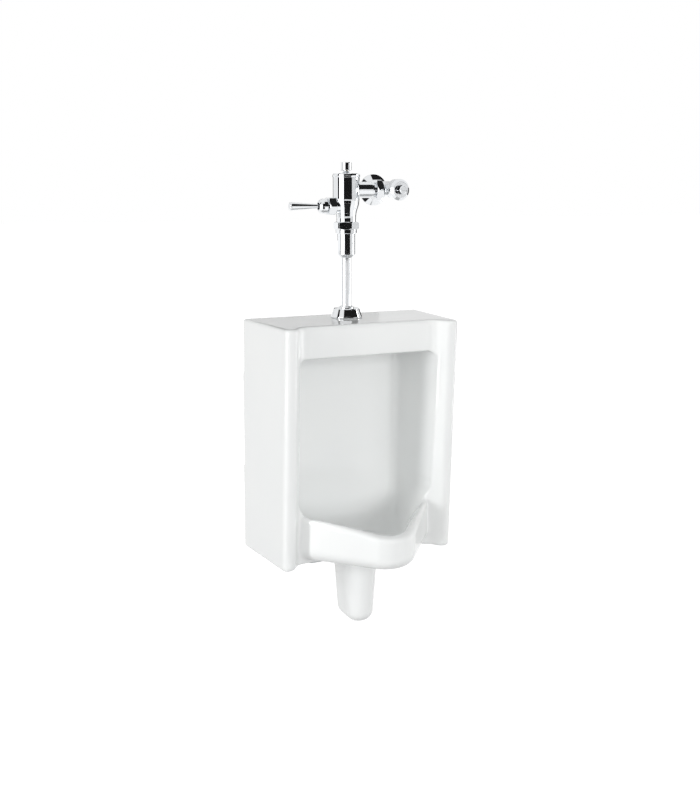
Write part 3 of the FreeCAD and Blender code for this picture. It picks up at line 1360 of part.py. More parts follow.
WASHER_START = "(stop_seat + moving_gap + stop_travel)"
DISC_START = f"({WASHER_START} + washer_height)"
DISC_END = f"({DISC_START} + disc_height)"
SCREW_START = f"({DISC_END} + moving_gap)"
turned("stop_washer", ring_profile("disc_stem", "washer_radius", WASHER_START, DISC_START), **TO_FRONT)
turned("stop_disc", [
    ("0", DISC_START),
    ("washer_radius", DISC_START),
    ("washer_radius", DISC_END),
    ("disc_stem", DISC_END),
    ("disc_stem", f"{DISC_END} + disc_stem_length"),
    ("0", f"{DISC_END} + disc_stem_length")], **TO_FRONT)

STOP_RING_MIDDLE = "(stop_spindle + o_ring_gap + o_ring_section)"
BONNET_RING_END = "(bonnet_ring_level + 2 * (o_ring_section + o_ring_room))"
bonnet = turned("stop_bonnet", [
    ("stop_spindle + running_fit", "stop_end - bonnet_thread"),
    ("stop_chamber", "stop_end - bonnet_thread"),
    ("stop_chamber", "stop_end"),
    ("bonnet_flange", "stop_end"),
    ("bonnet_flange", "stop_end + bonnet_flange_height"),
    ("bonnet_neck", "stop_end + bonnet_flange_height"),
    ("bonnet_neck", "bonnet_end"),
    ("stop_spindle + running_fit", "bonnet_end"),
    ("stop_spindle + running_fit", BONNET_RING_END),
    (f"{STOP_RING_MIDDLE} + o_ring_section", BONNET_RING_END),
    (f"{STOP_RING_MIDDLE} + o_ring_section", "bonnet_ring_level"),
    ("stop_spindle + running_fit", "bonnet_ring_level")], **TO_FRONT)
cut_flats(bonnet, "bonnet_flats", "bonnet_flange", "stop_end", "stop_end + bonnet_flange_height")
o_ring("stop_o_ring", STOP_RING_MIDDLE, "o_ring_section",
       f"(bonnet_ring_level + {BONNET_RING_END}) / 2", **TO_FRONT)
turned("stop_cap", [
    ("bonnet_neck", "stop_cap_start"),
    ("stop_cap_radius - stop_cap_edge", "stop_cap_start"),
    ("stop_cap_radius", "stop_cap_start + stop_cap_edge"),
    ("stop_cap_radius", "stop_cap_end - stop_cap_cone"),
    ("stop_cap_mouth", "stop_cap_end"),
    ("screw_head + screw_hole_gap", "stop_cap_end"),
    ("screw_head + screw_hole_gap", "stop_cap_end - stop_cap_face"),
    ("bonnet_neck", "stop_cap_end - stop_cap_face")], **TO_FRONT)
screw = turned("stop_screw", [
    ("0", f"{DISC_END} + disc_stem_length + moving_gap"),
    ("disc_stem + running_fit", f"{DISC_END} + disc_stem_length + moving_gap"),
    ("disc_stem + running_fit", SCREW_START),
    ("stop_spindle", SCREW_START),
    ("stop_spindle", "screw_head_start"),
    ("screw_head", "screw_head_start"),
    ("screw_head", "screw_end - screw_chamfer"),
    ("screw_head - screw_chamfer", "screw_end"),
    ("0", "screw_end")], **TO_FRONT)
slot = outline(sketch_on(screw, "XY_Plane", "screw_end"), [
    ("screw_head", "screw_slot / 2"), ("-screw_head", "screw_slot / 2"),
    ("-screw_head", "-screw_slot / 2"), ("screw_head", "-screw_slot / 2")])
extrude(screw, slot, "screw_slot_depth", "Pocket")
turned("wall_escutcheon", [
    ("wall_plate_radius - wall_plate_wall", "0"),
    ("wall_plate_radius", "0"),
    ("wall_plate_radius", "wall_plate_rim"),
    ("wall_plate_shoulder", "wall_plate_height"),
    ("pipe_radius + wall_plate_gap", "wall_plate_height"),
    ("pipe_radius + wall_plate_gap", "wall_plate_height - wall_plate_wall"),
    ("wall_plate_shoulder - wall_plate_wall / 2", "wall_plate_height - wall_plate_wall"),
    ("wall_plate_radius - wall_plate_wall", "wall_plate_rim")], **TO_FRONT)

# Check every object, then write one file for each piece

doc.recompute()
failed = [item.Label for item in doc.Objects if "Invalid" in item.State or "Error" in item.State]
failed += [item.Label for item in nodes if item.Shape.isNull() or not item.Shape.isValid()]
if failed:
    raise RuntimeError("failed objects: " + ", ".join(failed))

os.makedirs("parts", exist_ok=True)
for item in nodes:
    item.Shape.exportStep(f"parts/{item.Label}.step")
    print(f"{item.Label}: {len(item.Shape.Solids)} solid, {item.Shape.Volume / 1000:.2f} cm3")
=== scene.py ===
import math

import bmesh
import bpy
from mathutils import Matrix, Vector


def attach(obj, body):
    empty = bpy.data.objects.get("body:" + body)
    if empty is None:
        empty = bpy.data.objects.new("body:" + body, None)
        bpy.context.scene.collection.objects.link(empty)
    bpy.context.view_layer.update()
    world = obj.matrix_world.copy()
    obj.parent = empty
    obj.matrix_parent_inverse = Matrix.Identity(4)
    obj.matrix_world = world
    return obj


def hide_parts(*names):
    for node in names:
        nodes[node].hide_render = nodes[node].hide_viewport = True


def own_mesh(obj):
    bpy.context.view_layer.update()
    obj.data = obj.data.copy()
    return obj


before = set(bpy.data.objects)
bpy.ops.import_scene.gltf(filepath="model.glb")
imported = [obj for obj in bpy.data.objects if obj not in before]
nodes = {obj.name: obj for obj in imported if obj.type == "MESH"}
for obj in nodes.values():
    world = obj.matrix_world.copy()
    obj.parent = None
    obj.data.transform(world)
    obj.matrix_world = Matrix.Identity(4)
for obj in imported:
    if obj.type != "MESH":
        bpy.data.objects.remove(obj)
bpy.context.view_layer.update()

# The urinal: a hollow body of vitreous china, slip-cast in one plaster mould with its trap and its
# flush passage, dipped in opaque white glaze and fired, so that the glass rounds every edge.

CHINA_CELL = 0.003
CHINA_SEAM = 1e-6
GLAZE_ROUNDING = 0.5
GLAZE_ROUNDING_PASSES = 5


def put_in_scene(thing):
    bpy.context.scene.collection.objects.link(thing)
    return thing


def glazed_copy(node, name):
    """A copy of a cast solid as one even skin, its edges rounded as the melted glaze rounds them."""
    skin = bmesh.new()
    skin.from_mesh(nodes[node].data)
    bmesh.ops.remove_doubles(skin, verts=skin.verts, dist=CHINA_SEAM)
    mesh = bpy.data.meshes.new(name)
    skin.to_mesh(mesh)
    skin.free()
    piece = put_in_scene(bpy.data.objects.new(name, mesh))
    cast = piece.modifiers.new("slip_cast", "REMESH")
    cast.mode = "VOXEL"
    cast.voxel_size = CHINA_CELL
    fired = piece.modifiers.new("glaze_round", "SMOOTH")
    fired.factor = GLAZE_ROUNDING
    fired.iterations = GLAZE_ROUNDING_PASSES
    finished = piece.evaluated_get(bpy.context.evaluated_depsgraph_get())
    piece.data = bpy.data.meshes.new_from_object(finished)
    piece.modifiers.clear()
    piece.data.shade_smooth()
    return piece


def srgb(hex_colour):
    """Linear RGBA of an sRGB hex colour."""
    channels = [int(hex_colour[i:i + 2], 16) / 255 for i in (1, 3, 5)]
    linear = [c / 12.92 if c <= 0.04045 else ((c + 0.055) / 1.055) ** 2.4 for c in channels]
    return (*linear, 1.0)


def new_material(name):
    material = bpy.data.materials.new(name)
    material.use_nodes = True
    return material, material.node_tree, material.node_tree.nodes["Principled BSDF"]


def add_node(tree, kind, values=None, links=None, **settings):
    """Adds one node with its settings, its socket values and the sockets that feed it."""
    node = tree.nodes.new(kind)
    for key, setting in settings.items():
        setattr(node, key, setting)
    for socket, value in (values or {}).items():
        node.inputs[socket].default_value = value
    for socket, source in (links or {}).items():
        tree.links.new(source, node.inputs[socket])
    return node


# Fired white glaze: a clear glass skin over an opaque white, smooth enough to mirror the lamps, with
# a long soft ripple left by the dipping and a faint warm and cool drift in the white underneath.
GLAZE_WHITE = "#F2F3F2"
GLAZE_SHADE = "#EDEFEF"
GLAZE_DRIFT_MM = 140
GLAZE_RIPPLE_MM = 40
GLAZE_RIPPLE_STRENGTH, GLAZE_RIPPLE_DEPTH = 0.05, 0.001
GLAZE_WIPE_MM = 25
GLAZE_SMOOTH, GLAZE_WIPED = 0.04, 0.09
GLAZE_IOR = 1.52

glaze, tree, shader = new_material("white_glazed_vitreous_china")
place = add_node(tree, "ShaderNodeTexCoord")
drift = add_node(tree, "ShaderNodeTexNoise", {"Scale": 1000 / GLAZE_DRIFT_MM, "Detail": 2.0},
                 {"Vector": place.outputs["Object"]})
white = add_node(tree, "ShaderNodeMix", {"A": srgb(GLAZE_SHADE), "B": srgb(GLAZE_WHITE)},
                 {"Factor": drift.outputs["Fac"]}, data_type="RGBA")
ripple = add_node(tree, "ShaderNodeTexNoise", {"Scale": 1000 / GLAZE_RIPPLE_MM, "Detail": 1.0},
                  {"Vector": place.outputs["Object"]})
skin = add_node(tree, "ShaderNodeBump",
                {"Strength": GLAZE_RIPPLE_STRENGTH, "Distance": GLAZE_RIPPLE_DEPTH},
                {"Height": ripple.outputs["Fac"]})
wipe = add_node(tree, "ShaderNodeTexNoise", {"Scale": 1000 / GLAZE_WIPE_MM, "Detail": 3.0},
                {"Vector": place.outputs["Object"]})
gloss = add_node(tree, "ShaderNodeMapRange", {"To Min": GLAZE_SMOOTH, "To Max": GLAZE_WIPED},
                 {"Value": wipe.outputs["Fac"]})
tree.links.new(white.outputs["Result"], shader.inputs["Base Color"])
tree.links.new(gloss.outputs["Result"], shader.inputs["Roughness"])
tree.links.new(skin.outputs["Normal"], shader.inputs["Normal"])
shader.inputs["IOR"].default_value = GLAZE_IOR


def finish(material, *names):
    """Gives solids their real finish."""
    for name in names:
        slots = nodes[name].data.materials
        slots.clear()
        slots.append(material)


finish(glaze, "urinal_bowl")
china = glazed_copy("urinal_bowl", "glazed_china")
china.data.materials.clear()
china.data.materials.append(glaze)
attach(china, "urinal")
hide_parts("urinal_bowl")

# The drain strainer: a domed cap pressed from stainless sheet and punched with a ring of holes. It
# drops into the sump over the trap.

# Satin stainless steel: the sheet is brushed before pressing, so fine parallel lines stretch the
# lamp's reflection across them. They are drawn wider than the real ones so that they show.
STAINLESS = "#C9CBCC"
STAINLESS_LINE_MM = 0.6
STAINLESS_LINE_STRETCH = 12
STAINLESS_LINE_STRENGTH, STAINLESS_LINE_DEPTH = 0.12, 0.0001
STAINLESS_SMOOTH, STAINLESS_BRUSHED = 0.22, 0.38

stainless, tree, shader = new_material("satin_stainless_steel")
place = add_node(tree, "ShaderNodeTexCoord")
along = add_node(tree, "ShaderNodeMapping", {"Scale": (1 / STAINLESS_LINE_STRETCH, 1.0, 1.0)},
                 {"Vector": place.outputs["Object"]})
lines = add_node(tree, "ShaderNodeTexNoise", {"Scale": 1000 / STAINLESS_LINE_MM, "Detail": 2.0},
                 {"Vector": along.outputs["Vector"]})
satin = add_node(tree, "ShaderNodeMapRange", {"To Min": STAINLESS_SMOOTH, "To Max": STAINLESS_BRUSHED},
                 {"Value": lines.outputs["Fac"]})
brushed = add_node(tree, "ShaderNodeBump",
                   {"Strength": STAINLESS_LINE_STRENGTH, "Distance": STAINLESS_LINE_DEPTH},
                   {"Height": lines.outputs["Fac"]})
tree.links.new(satin.outputs["Result"], shader.inputs["Roughness"])
tree.links.new(brushed.outputs["Normal"], shader.inputs["Normal"])
shader.inputs["Base Color"].default_value = srgb(STAINLESS)
shader.inputs["Metallic"].default_value = 1.0

finish(stainless, "drain_strainer")

# The waste connection: a plated steel flange on the wall pipe, a rubber ring between it and the
# china's spigot, and two brass bolts with nuts through the spigot's ears.

# Bright zinc plate: the plating grows in small crystals, so neighbouring patches differ a little in
# brightness and gloss.
ZINC_LIGHT = "#C3C6C9"
ZINC_DARK = "#AEB2B6"
ZINC_CRYSTAL_MM = 4
ZINC_BRIGHT, ZINC_DULL = 0.32, 0.5

zinc, tree, shader = new_material("zinc_plated_steel")
place = add_node(tree, "ShaderNodeTexCoord")
crystal = add_node(tree, "ShaderNodeTexVoronoi", {"Scale": 1000 / ZINC_CRYSTAL_MM},
                   {"Vector": place.outputs["Object"]})
patch = add_node(tree, "ShaderNodeMix", {"A": srgb(ZINC_DARK), "B": srgb(ZINC_LIGHT)},
                 {"Factor": crystal.outputs["Color"]}, data_type="RGBA")
bright = add_node(tree, "ShaderNodeMapRange", {"To Min": ZINC_BRIGHT, "To Max": ZINC_DULL},
                  {"Value": crystal.outputs["Color"]})
tree.links.new(patch.outputs["Result"], shader.inputs["Base Color"])
tree.links.new(bright.outputs["Result"], shader.inputs["Roughness"])
shader.inputs["Metallic"].default_value = 1.0

# Moulded EPDM rubber: matte black, with the fine grain of the spark-eroded mould, drawn coarser than
# the real one so that it shows, and a grey bloom where it has been handled.
RUBBER_BLACK = "#1A1A1B"
RUBBER_BLOOM = "#2B2B2C"
RUBBER_BLOOM_MM = 9
RUBBER_GRAIN_MM = 0.8
RUBBER_GRAIN_STRENGTH, RUBBER_GRAIN_DEPTH = 0.25, 0.0001
RUBBER_ROUGHNESS = 0.62

rubber, tree, shader = new_material("moulded_black_rubber")
place = add_node(tree, "ShaderNodeTexCoord")
bloom = add_node(tree, "ShaderNodeTexNoise", {"Scale": 1000 / RUBBER_BLOOM_MM, "Detail": 4.0},
                 {"Vector": place.outputs["Object"]})
black = add_node(tree, "ShaderNodeMix", {"A": srgb(RUBBER_BLACK), "B": srgb(RUBBER_BLOOM)},
                 {"Factor": bloom.outputs["Fac"]}, data_type="RGBA")
grain = add_node(tree, "ShaderNodeTexNoise", {"Scale": 1000 / RUBBER_GRAIN_MM, "Detail": 2.0},
                 {"Vector": place.outputs["Object"]})
mould = add_node(tree, "ShaderNodeBump",
                 {"Strength": RUBBER_GRAIN_STRENGTH, "Distance": RUBBER_GRAIN_DEPTH},
                 {"Height": grain.outputs["Fac"]})
tree.links.new(black.outputs["Result"], shader.inputs["Base Color"])
tree.links.new(mould.outputs["Normal"], shader.inputs["Normal"])
shader.inputs["Roughness"].default_value = RUBBER_ROUGHNESS

# Machined brass: warm yellow, turned on a lathe, with tool rings and patches that have begun to dull
# in the air. Real rings are finer than a millimetre; they are drawn wider so that they show.
BRASS_BRIGHT = "#D8B86A"
BRASS_DULL = "#B99448"
BRASS_DULL_MM = 7
BRASS_RING_MM = 3.14
BRASS_RING_STRENGTH, BRASS_RING_DEPTH = 0.1, 0.0001
BRASS_CUT, BRASS_TARNISHED = 0.24, 0.42
WAVE_RADIANS = 20

brass, tree, shader = new_material("machined_brass")
place = add_node(tree, "ShaderNodeTexCoord")
dulling = add_node(tree, "ShaderNodeTexNoise", {"Scale": 1000 / BRASS_DULL_MM, "Detail": 4.0},
                   {"Vector": place.outputs["Object"]})
yellow = add_node(tree, "ShaderNodeMix", {"A": srgb(BRASS_BRIGHT), "B": srgb(BRASS_DULL)},
                  {"Factor": dulling.outputs["Fac"]}, data_type="RGBA")
turning = add_node(tree, "ShaderNodeTexWave",
                   {"Scale": 2 * math.pi * 1000 / BRASS_RING_MM / WAVE_RADIANS, "Distortion": 1.0},
                   {"Vector": place.outputs["Object"]}, bands_direction="Z")
tool_rings = add_node(tree, "ShaderNodeBump",
                      {"Strength": BRASS_RING_STRENGTH, "Distance": BRASS_RING_DEPTH},
                      {"Height": turning.outputs["Fac"]})
cut = add_node(tree, "ShaderNodeMapRange", {"To Min": BRASS_CUT, "To Max": BRASS_TARNISHED},
               {"Value": dulling.outputs["Fac"]})
tree.links.new(yellow.outputs["Result"], shader.inputs["Base Color"])
tree.links.new(cut.outputs["Result"], shader.inputs["Roughness"])
tree.links.new(tool_rings.outputs["Normal"], shader.inputs["Normal"])
shader.inputs["Metallic"].default_value = 1.0

finish(zinc, "outlet_flange")
finish(rubber, "outlet_gasket")
finish(brass, "flange_bolts", "flange_nuts")

# The wall hangers: two hooks pressed from plated strip and screwed to the wall. The hollow wings of
# the china drop over them.

finish(zinc, "wall_hanger_right", "wall_hanger_left")

# The spud: a turned brass tailpiece pulled up against a rubber sleeve in the top of the china by a
# locknut, and a coupling nut that squeezes a seal on the flush tube, all under a spun cover.

# Polished chrome plate on brass: a bright, slightly cool mirror, so its look is its surroundings. The
# polishing wheel leaves a very faint haze, and edges are broken by a fraction of a millimetre.
CHROME = "#E6E8EA"
CHROME_HAZE_MM = 16
CHROME_POLISHED, CHROME_HAZED = 0.02, 0.06
CHROME_EDGE = 0.0005

chrome, tree, shader = new_material("polished_chrome_plate")
place = add_node(tree, "ShaderNodeTexCoord")
haze = add_node(tree, "ShaderNodeTexNoise", {"Scale": 1000 / CHROME_HAZE_MM, "Detail": 3.0},
                {"Vector": place.outputs["Object"]})
polish = add_node(tree, "ShaderNodeMapRange", {"To Min": CHROME_POLISHED, "To Max": CHROME_HAZED},
                  {"Value": haze.outputs["Fac"]})
edge = add_node(tree, "ShaderNodeBevel", {"Radius": CHROME_EDGE}, samples=6)
tree.links.new(polish.outputs["Result"], shader.inputs["Roughness"])
tree.links.new(edge.outputs["Normal"], shader.inputs["Normal"])
shader.inputs["Base Color"].default_value = srgb(CHROME)
shader.inputs["Metallic"].default_value = 1.0

finish(brass, "spud_body", "spud_locknut", "spud_coupling_nut")
finish(rubber, "spud_gasket", "tube_seal")
finish(stainless, "spud_washer")
finish(chrome, "spud_escutcheon")

# The flush tube and vacuum breaker: drawn brass tubes, chromed. The wider upper one holds a moulded
# plastic check that lets air in, and hangs from the valve by a coupling nut on a rubber ring.

# Moulded acetal: an off-white plastic with a soft gloss and the faint orange peel of its mould.
ACETAL = "#DEDDD6"
ACETAL_SHADE = "#D3D2C9"
ACETAL_PEEL_MM = 2.5
ACETAL_PEEL_STRENGTH, ACETAL_PEEL_DEPTH = 0.15, 0.0002
ACETAL_ROUGHNESS = 0.42
ACETAL_IOR = 1.48

acetal, tree, shader = new_material("moulded_acetal")
place = add_node(tree, "ShaderNodeTexCoord")
peel = add_node(tree, "ShaderNodeTexNoise", {"Scale": 1000 / ACETAL_PEEL_MM, "Detail": 2.0},
                {"Vector": place.outputs["Object"]})
ivory = add_node(tree, "ShaderNodeMix", {"A": srgb(ACETAL_SHADE), "B": srgb(ACETAL)},
                 {"Factor": peel.outputs["Fac"]}, data_type="RGBA")
moulded = add_node(tree, "ShaderNodeBump",
                   {"Strength": ACETAL_PEEL_STRENGTH, "Distance": ACETAL_PEEL_DEPTH},
                   {"Height": peel.outputs["Fac"]})
tree.links.new(ivory.outputs["Result"], shader.inputs["Base Color"])
tree.links.new(moulded.outputs["Normal"], shader.inputs["Normal"])
shader.inputs["Roughness"].default_value = ACETAL_ROUGHNESS
shader.inputs["IOR"].default_value = ACETAL_IOR

finish(chrome, "flush_tube", "vacuum_breaker_tube", "coupling_nut")
finish(acetal, "vacuum_breaker_insert")
finish(rubber, "coupling_gasket")

# The flush valve: a cast brass body, turned, polished and chromed. Inside it a brass piston with a
# rubber cup lifts off its seat when the relief valve in its middle is tipped. A cap closes the top.

finish(chrome, "valve_body", "outer_cap")
finish(brass, "main_seat", "piston", "relief_valve", "inside_cover")
finish(rubber, "piston_cup", "cover_gasket")

# The regulator: a chromed knob on a brass spindle that screws down through the cap and limits how
# far the piston lifts.

finish(chrome, "regulator_knob")
finish(brass, "regulator_spindle")
finish(rubber, "regulator_o_ring")

# The handle: a forged lever in a round socket, held to the side of the valve by a nut. Tilting it
# pushes a brass plunger through its bushing and packing, and a steel spring brings it back.

finish(chrome, "handle_nut", "handle_socket", "handle_lever")
finish(brass, "handle_bushing", "plunger")
finish(rubber, "plunger_packing")
finish(stainless, "plunger_spring")

spring = put_in_scene(bpy.data.objects.new("coil_spring", nodes["plunger_spring"].data.copy()))
spring.matrix_world = nodes["plunger_spring"].matrix_world
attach(spring, "urinal")
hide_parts("plunger_spring")
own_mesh(spring)

# The supply: a chromed tail with an O-ring slides into the valve, and a nut holds it to the angle
# stop. The stop's screw turns a washered disc onto its seat, and a spun plate covers the wall pipe.

finish(chrome, "inlet_tail", "inlet_coupling_nut", "supply_nipple", "stop_body", "stop_bonnet")
finish(chrome, "stop_cap", "stop_screw", "wall_escutcheon")
finish(brass, "stop_disc")
finish(rubber, "inlet_o_ring", "stop_washer", "stop_o_ring")

# The studio floor: a wide sheet of pale grey paper below the hanging urinal. It is lit like the rest and
# lifted to white where the camera or a polished surface sees it, more so far off, and keeps the shadow.

FLOOR_LEVEL = -0.52
FLOOR_HALF = 40.0
PAPER_GREY = "#A0A0A0"
PAPER_LIFT_NEAR, PAPER_LIFT_FAR = 0.75, 0.92
PAPER_NEAR, PAPER_FAR = 0.8, 4.0
PAPER_FIBRE_MM = 3
PAPER_FIBRE_STRENGTH, PAPER_FIBRE_DEPTH = 0.05, 0.0002
PAPER_ROUGHNESS = 0.95

floor_mesh = bpy.data.meshes.new("studio_floor")
floor_mesh.from_pydata(
    [(x * FLOOR_HALF, y * FLOOR_HALF, FLOOR_LEVEL) for x, y in ((-1, -1), (1, -1), (1, 1), (-1, 1))],
    [], [(0, 1, 2, 3)])
floor = put_in_scene(bpy.data.objects.new("studio_floor", floor_mesh))


def seen_directly(tree):
    """1 for a ray from the camera, a reflection or a refraction, and 0 for a ray that lights."""
    ray = add_node(tree, "ShaderNodeLightPath")
    mirrored = add_node(tree, "ShaderNodeMath", operation="MAXIMUM", links={
        0: ray.outputs["Is Camera Ray"], 1: ray.outputs["Is Glossy Ray"]})
    return add_node(tree, "ShaderNodeMath", operation="MAXIMUM", links={
        0: mirrored.outputs[0], 1: ray.outputs["Is Transmission Ray"]})


# Pale background paper: matte and even, with only a trace of its fibres.
paper, tree, shader = new_material("white_studio_paper")
place = add_node(tree, "ShaderNodeTexCoord")
fibre = add_node(tree, "ShaderNodeTexNoise", {"Scale": 1000 / PAPER_FIBRE_MM, "Detail": 3.0},
                 {"Vector": place.outputs["Object"]})
nap = add_node(tree, "ShaderNodeBump",
               {"Strength": PAPER_FIBRE_STRENGTH, "Distance": PAPER_FIBRE_DEPTH},
               {"Height": fibre.outputs["Fac"]})
away = add_node(tree, "ShaderNodeVectorMath", operation="LENGTH", links={0: place.outputs["Object"]})
white_there = add_node(
    tree, "ShaderNodeMapRange",
    {"From Min": PAPER_NEAR, "From Max": PAPER_FAR, "To Min": PAPER_LIFT_NEAR, "To Max": PAPER_LIFT_FAR},
    {"Value": away.outputs["Value"]})
lift = add_node(tree, "ShaderNodeMath", operation="MULTIPLY", links={
    0: white_there.outputs["Result"], 1: seen_directly(tree).outputs[0]})
tree.links.new(nap.outputs["Normal"], shader.inputs["Normal"])
tree.links.new(lift.outputs[0], shader.inputs["Emission Strength"])
shader.inputs["Base Color"].default_value = srgb(PAPER_GREY)
shader.inputs["Emission Color"].default_value = (1, 1, 1, 1)
shader.inputs["Roughness"].default_value = PAPER_ROUGHNESS
floor_mesh.materials.append(paper)

# The studio: white walls all round that throw more light than the ceiling. Polished metal shows what
# stands round it, so dark cloth and white card hang about the room to draw dark and grey bands on the
# chrome. They are seen only in reflections.

WALL_FILL, CEILING_FILL = 0.81, 0.25
VALVE_AXIS_Y = -0.065
SHEET_DISTANCE = 3.2
SHEET_STEPS = 12
FLOOR_CLOTH_DISTANCE = 1.3
FLOOR_CLOTH_HEIGHT = FLOOR_LEVEL + 0.005
STOP_CLOTH_DISTANCE = 0.45

room = bpy.data.worlds.new("white_studio")
bpy.context.scene.world = room
room.use_nodes = True
tree = room.node_tree
walls = tree.nodes["Background"]
towards = add_node(tree, "ShaderNodeTexCoord")
upward = add_node(tree, "ShaderNodeSeparateXYZ", links={0: towards.outputs["Generated"]})
fill = add_node(tree, "ShaderNodeMapRange", {"To Min": WALL_FILL, "To Max": CEILING_FILL},
                {"Value": upward.outputs["Z"]})
level = add_node(tree, "ShaderNodeMapRange", {"To Max": 1.0},
                 {"Value": seen_directly(tree).outputs[0], "To Min": fill.outputs["Result"]})
tree.links.new(level.outputs["Result"], walls.inputs["Strength"])
walls.inputs["Color"].default_value = (1, 1, 1, 1)


def round_the_valve(azimuth, distance, height):
    """A place round the valve's axis: azimuth in degrees from the front, positive to the right."""
    turn = math.radians(azimuth)
    return Vector((distance * math.sin(turn), VALVE_AXIS_Y - distance * math.cos(turn), height))


# Black felted cloth: no gloss at all, so that the chrome shows it as an even dark band.
CLOTH_BLACK = "#0D0D0E"
CLOTH_WEAVE_MM = 2.5
CLOTH_WEAVE_STRENGTH = 0.1
CLOTH_ROUGHNESS = 1.0

cloth, tree, shader = new_material("black_cloth")
place = add_node(tree, "ShaderNodeTexCoord")
weave = add_node(tree, "ShaderNodeTexNoise", {"Scale": 1000 / CLOTH_WEAVE_MM},
                 {"Vector": place.outputs["Object"]})
felt = add_node(tree, "ShaderNodeBump", {"Strength": CLOTH_WEAVE_STRENGTH}, {"Height": weave.outputs["Fac"]})
tree.links.new(felt.outputs["Normal"], shader.inputs["Normal"])
shader.inputs["Base Color"].default_value = srgb(CLOTH_BLACK)
shader.inputs["Roughness"].default_value = CLOTH_ROUGHNESS

# Matte white card: uncoated board with a faint painted glow of its own, an emission with no lamp behind it,
# which the chrome shows as a pale grey.
CARD_WHITE = "#F6F6F6"
CARD_PAINTED_GLOW = 0.2
CARD_PULP_STRENGTH = 0.05
CARD_ROUGHNESS = 1.0

card, tree, shader = new_material("matte_white_card")
place = add_node(tree, "ShaderNodeTexCoord")
pulp = add_node(tree, "ShaderNodeTexNoise", {"Scale": 1000 / PAPER_FIBRE_MM},
                {"Vector": place.outputs["Object"]})
matte = add_node(tree, "ShaderNodeBump", {"Strength": CARD_PULP_STRENGTH}, {"Height": pulp.outputs["Fac"]})
tree.links.new(matte.outputs["Normal"], shader.inputs["Normal"])
shader.inputs["Base Color"].default_value = srgb(CARD_WHITE)
# Painted glow: the card emits a little white light of its own, standing in for light falling on it.
shader.inputs["Emission Color"].default_value = (1, 1, 1, 1)
shader.inputs["Emission Strength"].default_value = CARD_PAINTED_GLOW
shader.inputs["Roughness"].default_value = CARD_ROUGHNESS


def hang(material, name, azimuths, heights, distances=(SHEET_DISTANCE, SHEET_DISTANCE)):
    """A sheet that curves round the valve between two azimuths. Heights and distances are those of its
    low and its high edge, so that one sheet can also lie on the floor."""
    start, end = azimuths
    low, high = heights
    low_distance, high_distance = distances
    edges = []
    for step in range(SHEET_STEPS + 1):
        azimuth = start + (end - start) * step / SHEET_STEPS
        edges.append(round_the_valve(azimuth, low_distance, low))
        edges.append(round_the_valve(azimuth, high_distance, high))
    faces = [(2 * i, 2 * i + 2, 2 * i + 3, 2 * i + 1) for i in range(SHEET_STEPS)]
    mesh = bpy.data.meshes.new(name)
    mesh.from_pydata(edges, [], faces)
    mesh.materials.append(material)
    sheet = put_in_scene(bpy.data.objects.new(name, mesh))
    sheet.visible_camera = False
    sheet.visible_diffuse = False
    sheet.visible_shadow = False


hang(cloth, "cloth_behind_camera", (-46.0, 26.0), (0.38, 3.2))
hang(cloth, "cloth_strip_left", (-101.0, -84.0), (0.42, 4.5))
hang(cloth, "cloth_upper_right", (26.0, 90.0), (1.05, 6.5))
hang(cloth, "cloth_low_front", (-46.0, 20.0), (-0.5, 0.1))
hang(cloth, "cloth_back_right", (112.0, 142.0), (-0.1, 1.0))
hang(cloth, "cloth_behind_stop", (155.0, 188.0), (0.6, 0.755), (STOP_CLOTH_DISTANCE, STOP_CLOTH_DISTANCE))
hang(cloth, "cloth_on_floor", (-46.0, 20.0), (FLOOR_CLOTH_HEIGHT, FLOOR_CLOTH_HEIGHT),
     (FLOOR_CLOTH_DISTANCE, SHEET_DISTANCE))
hang(card, "card_right", (26.5, 108.0), (0.2, 1.0))
hang(card, "card_back", (143.0, 212.0), (1.0, 3.2))
hang(card, "card_back_low", (152.0, 164.0), (0.5, 1.0))
hang(card, "card_low_front", (-46.0, 20.0), (0.1, 0.38))
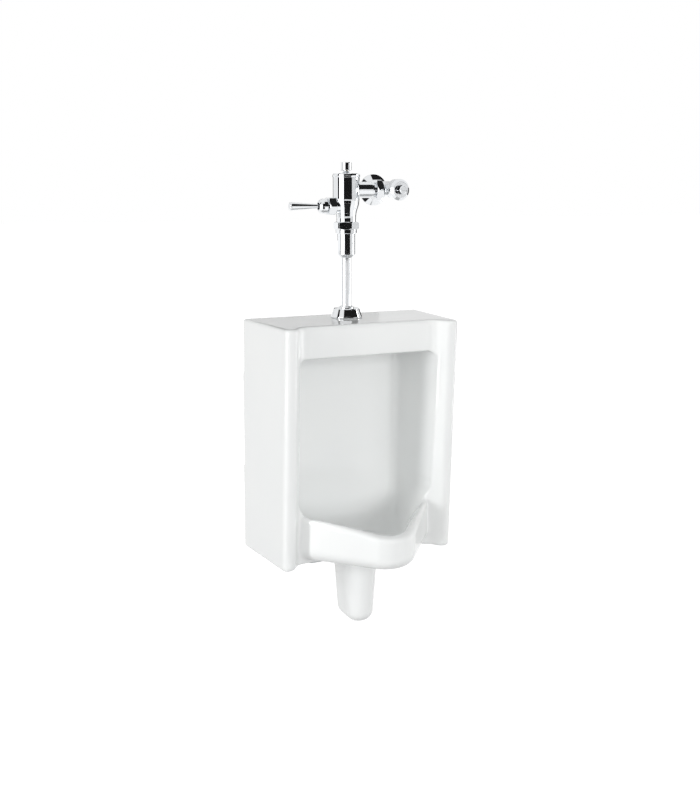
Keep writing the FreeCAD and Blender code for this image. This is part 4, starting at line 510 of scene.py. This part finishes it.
hang(card, "card_low_left", (-135.0, -46.0), (-0.45, 0.42))

# The lamps: tall softboxes at the left and the right and wide ones at the front and the back, all about
# the height of the urinal, so that the light comes level into the bowl and draws upright lines on its
# edges.

LAMP_TARGET = Vector((0.0, -0.1, 0.3))
TALL_BOX = (1.0, 2.0)
STRIP_BOX = (0.3, 1.8)
WIDE_BOX = (1.6, 1.2)


def softbox(name, place, size, watts, mirrored=True):
    """A rectangular lamp aimed at the urinal; one that isn't mirrored leaves the metal's dark bands whole."""
    lamp = bpy.data.lights.new(name, "AREA")
    lamp.shape = "RECTANGLE"
    lamp.size, lamp.size_y = size
    lamp.energy = watts
    stand = put_in_scene(bpy.data.objects.new(name, lamp))
    stand.location = place
    stand.rotation_euler = (LAMP_TARGET - place).to_track_quat("-Z", "Y").to_euler()
    stand.visible_glossy = mirrored


softbox("left_softbox", round_the_valve(-60.0, 2.6, 0.5), TALL_BOX, 6)
softbox("left_strip", round_the_valve(-78.0, 2.6, 0.5), STRIP_BOX, 26)
softbox("front_softbox", round_the_valve(3.0, 3.0, 0.8), WIDE_BOX, 37, mirrored=False)
softbox("right_strip", round_the_valve(78.0, 2.4, 0.5), STRIP_BOX, 10)
softbox("back_softbox", round_the_valve(170.0, 3.0, 0.8), WIDE_BOX, 24, mirrored=False)

# The camera: at the height of the valve and to the left of the front, looking a little down into the
# bowl, as a catalogue shows a urinal.

CAMERA_PLACE = Vector((-0.8094, -1.8015, 0.7101))
CAMERA_TARGET = Vector((-0.0073, -0.09705, 0.3191))
CAMERA_LENS_MM = 45.0
CAMERA_SENSOR_MM = 36.0

lens = bpy.data.cameras.new("camera")
lens.lens = CAMERA_LENS_MM
lens.sensor_width = CAMERA_SENSOR_MM
camera = put_in_scene(bpy.data.objects.new("camera", lens))
camera.location = CAMERA_PLACE
camera.rotation_euler = (CAMERA_TARGET - CAMERA_PLACE).to_track_quat("-Z", "Y").to_euler()
bpy.context.scene.camera = camera
bpy.context.scene.view_settings.view_transform = "Standard"
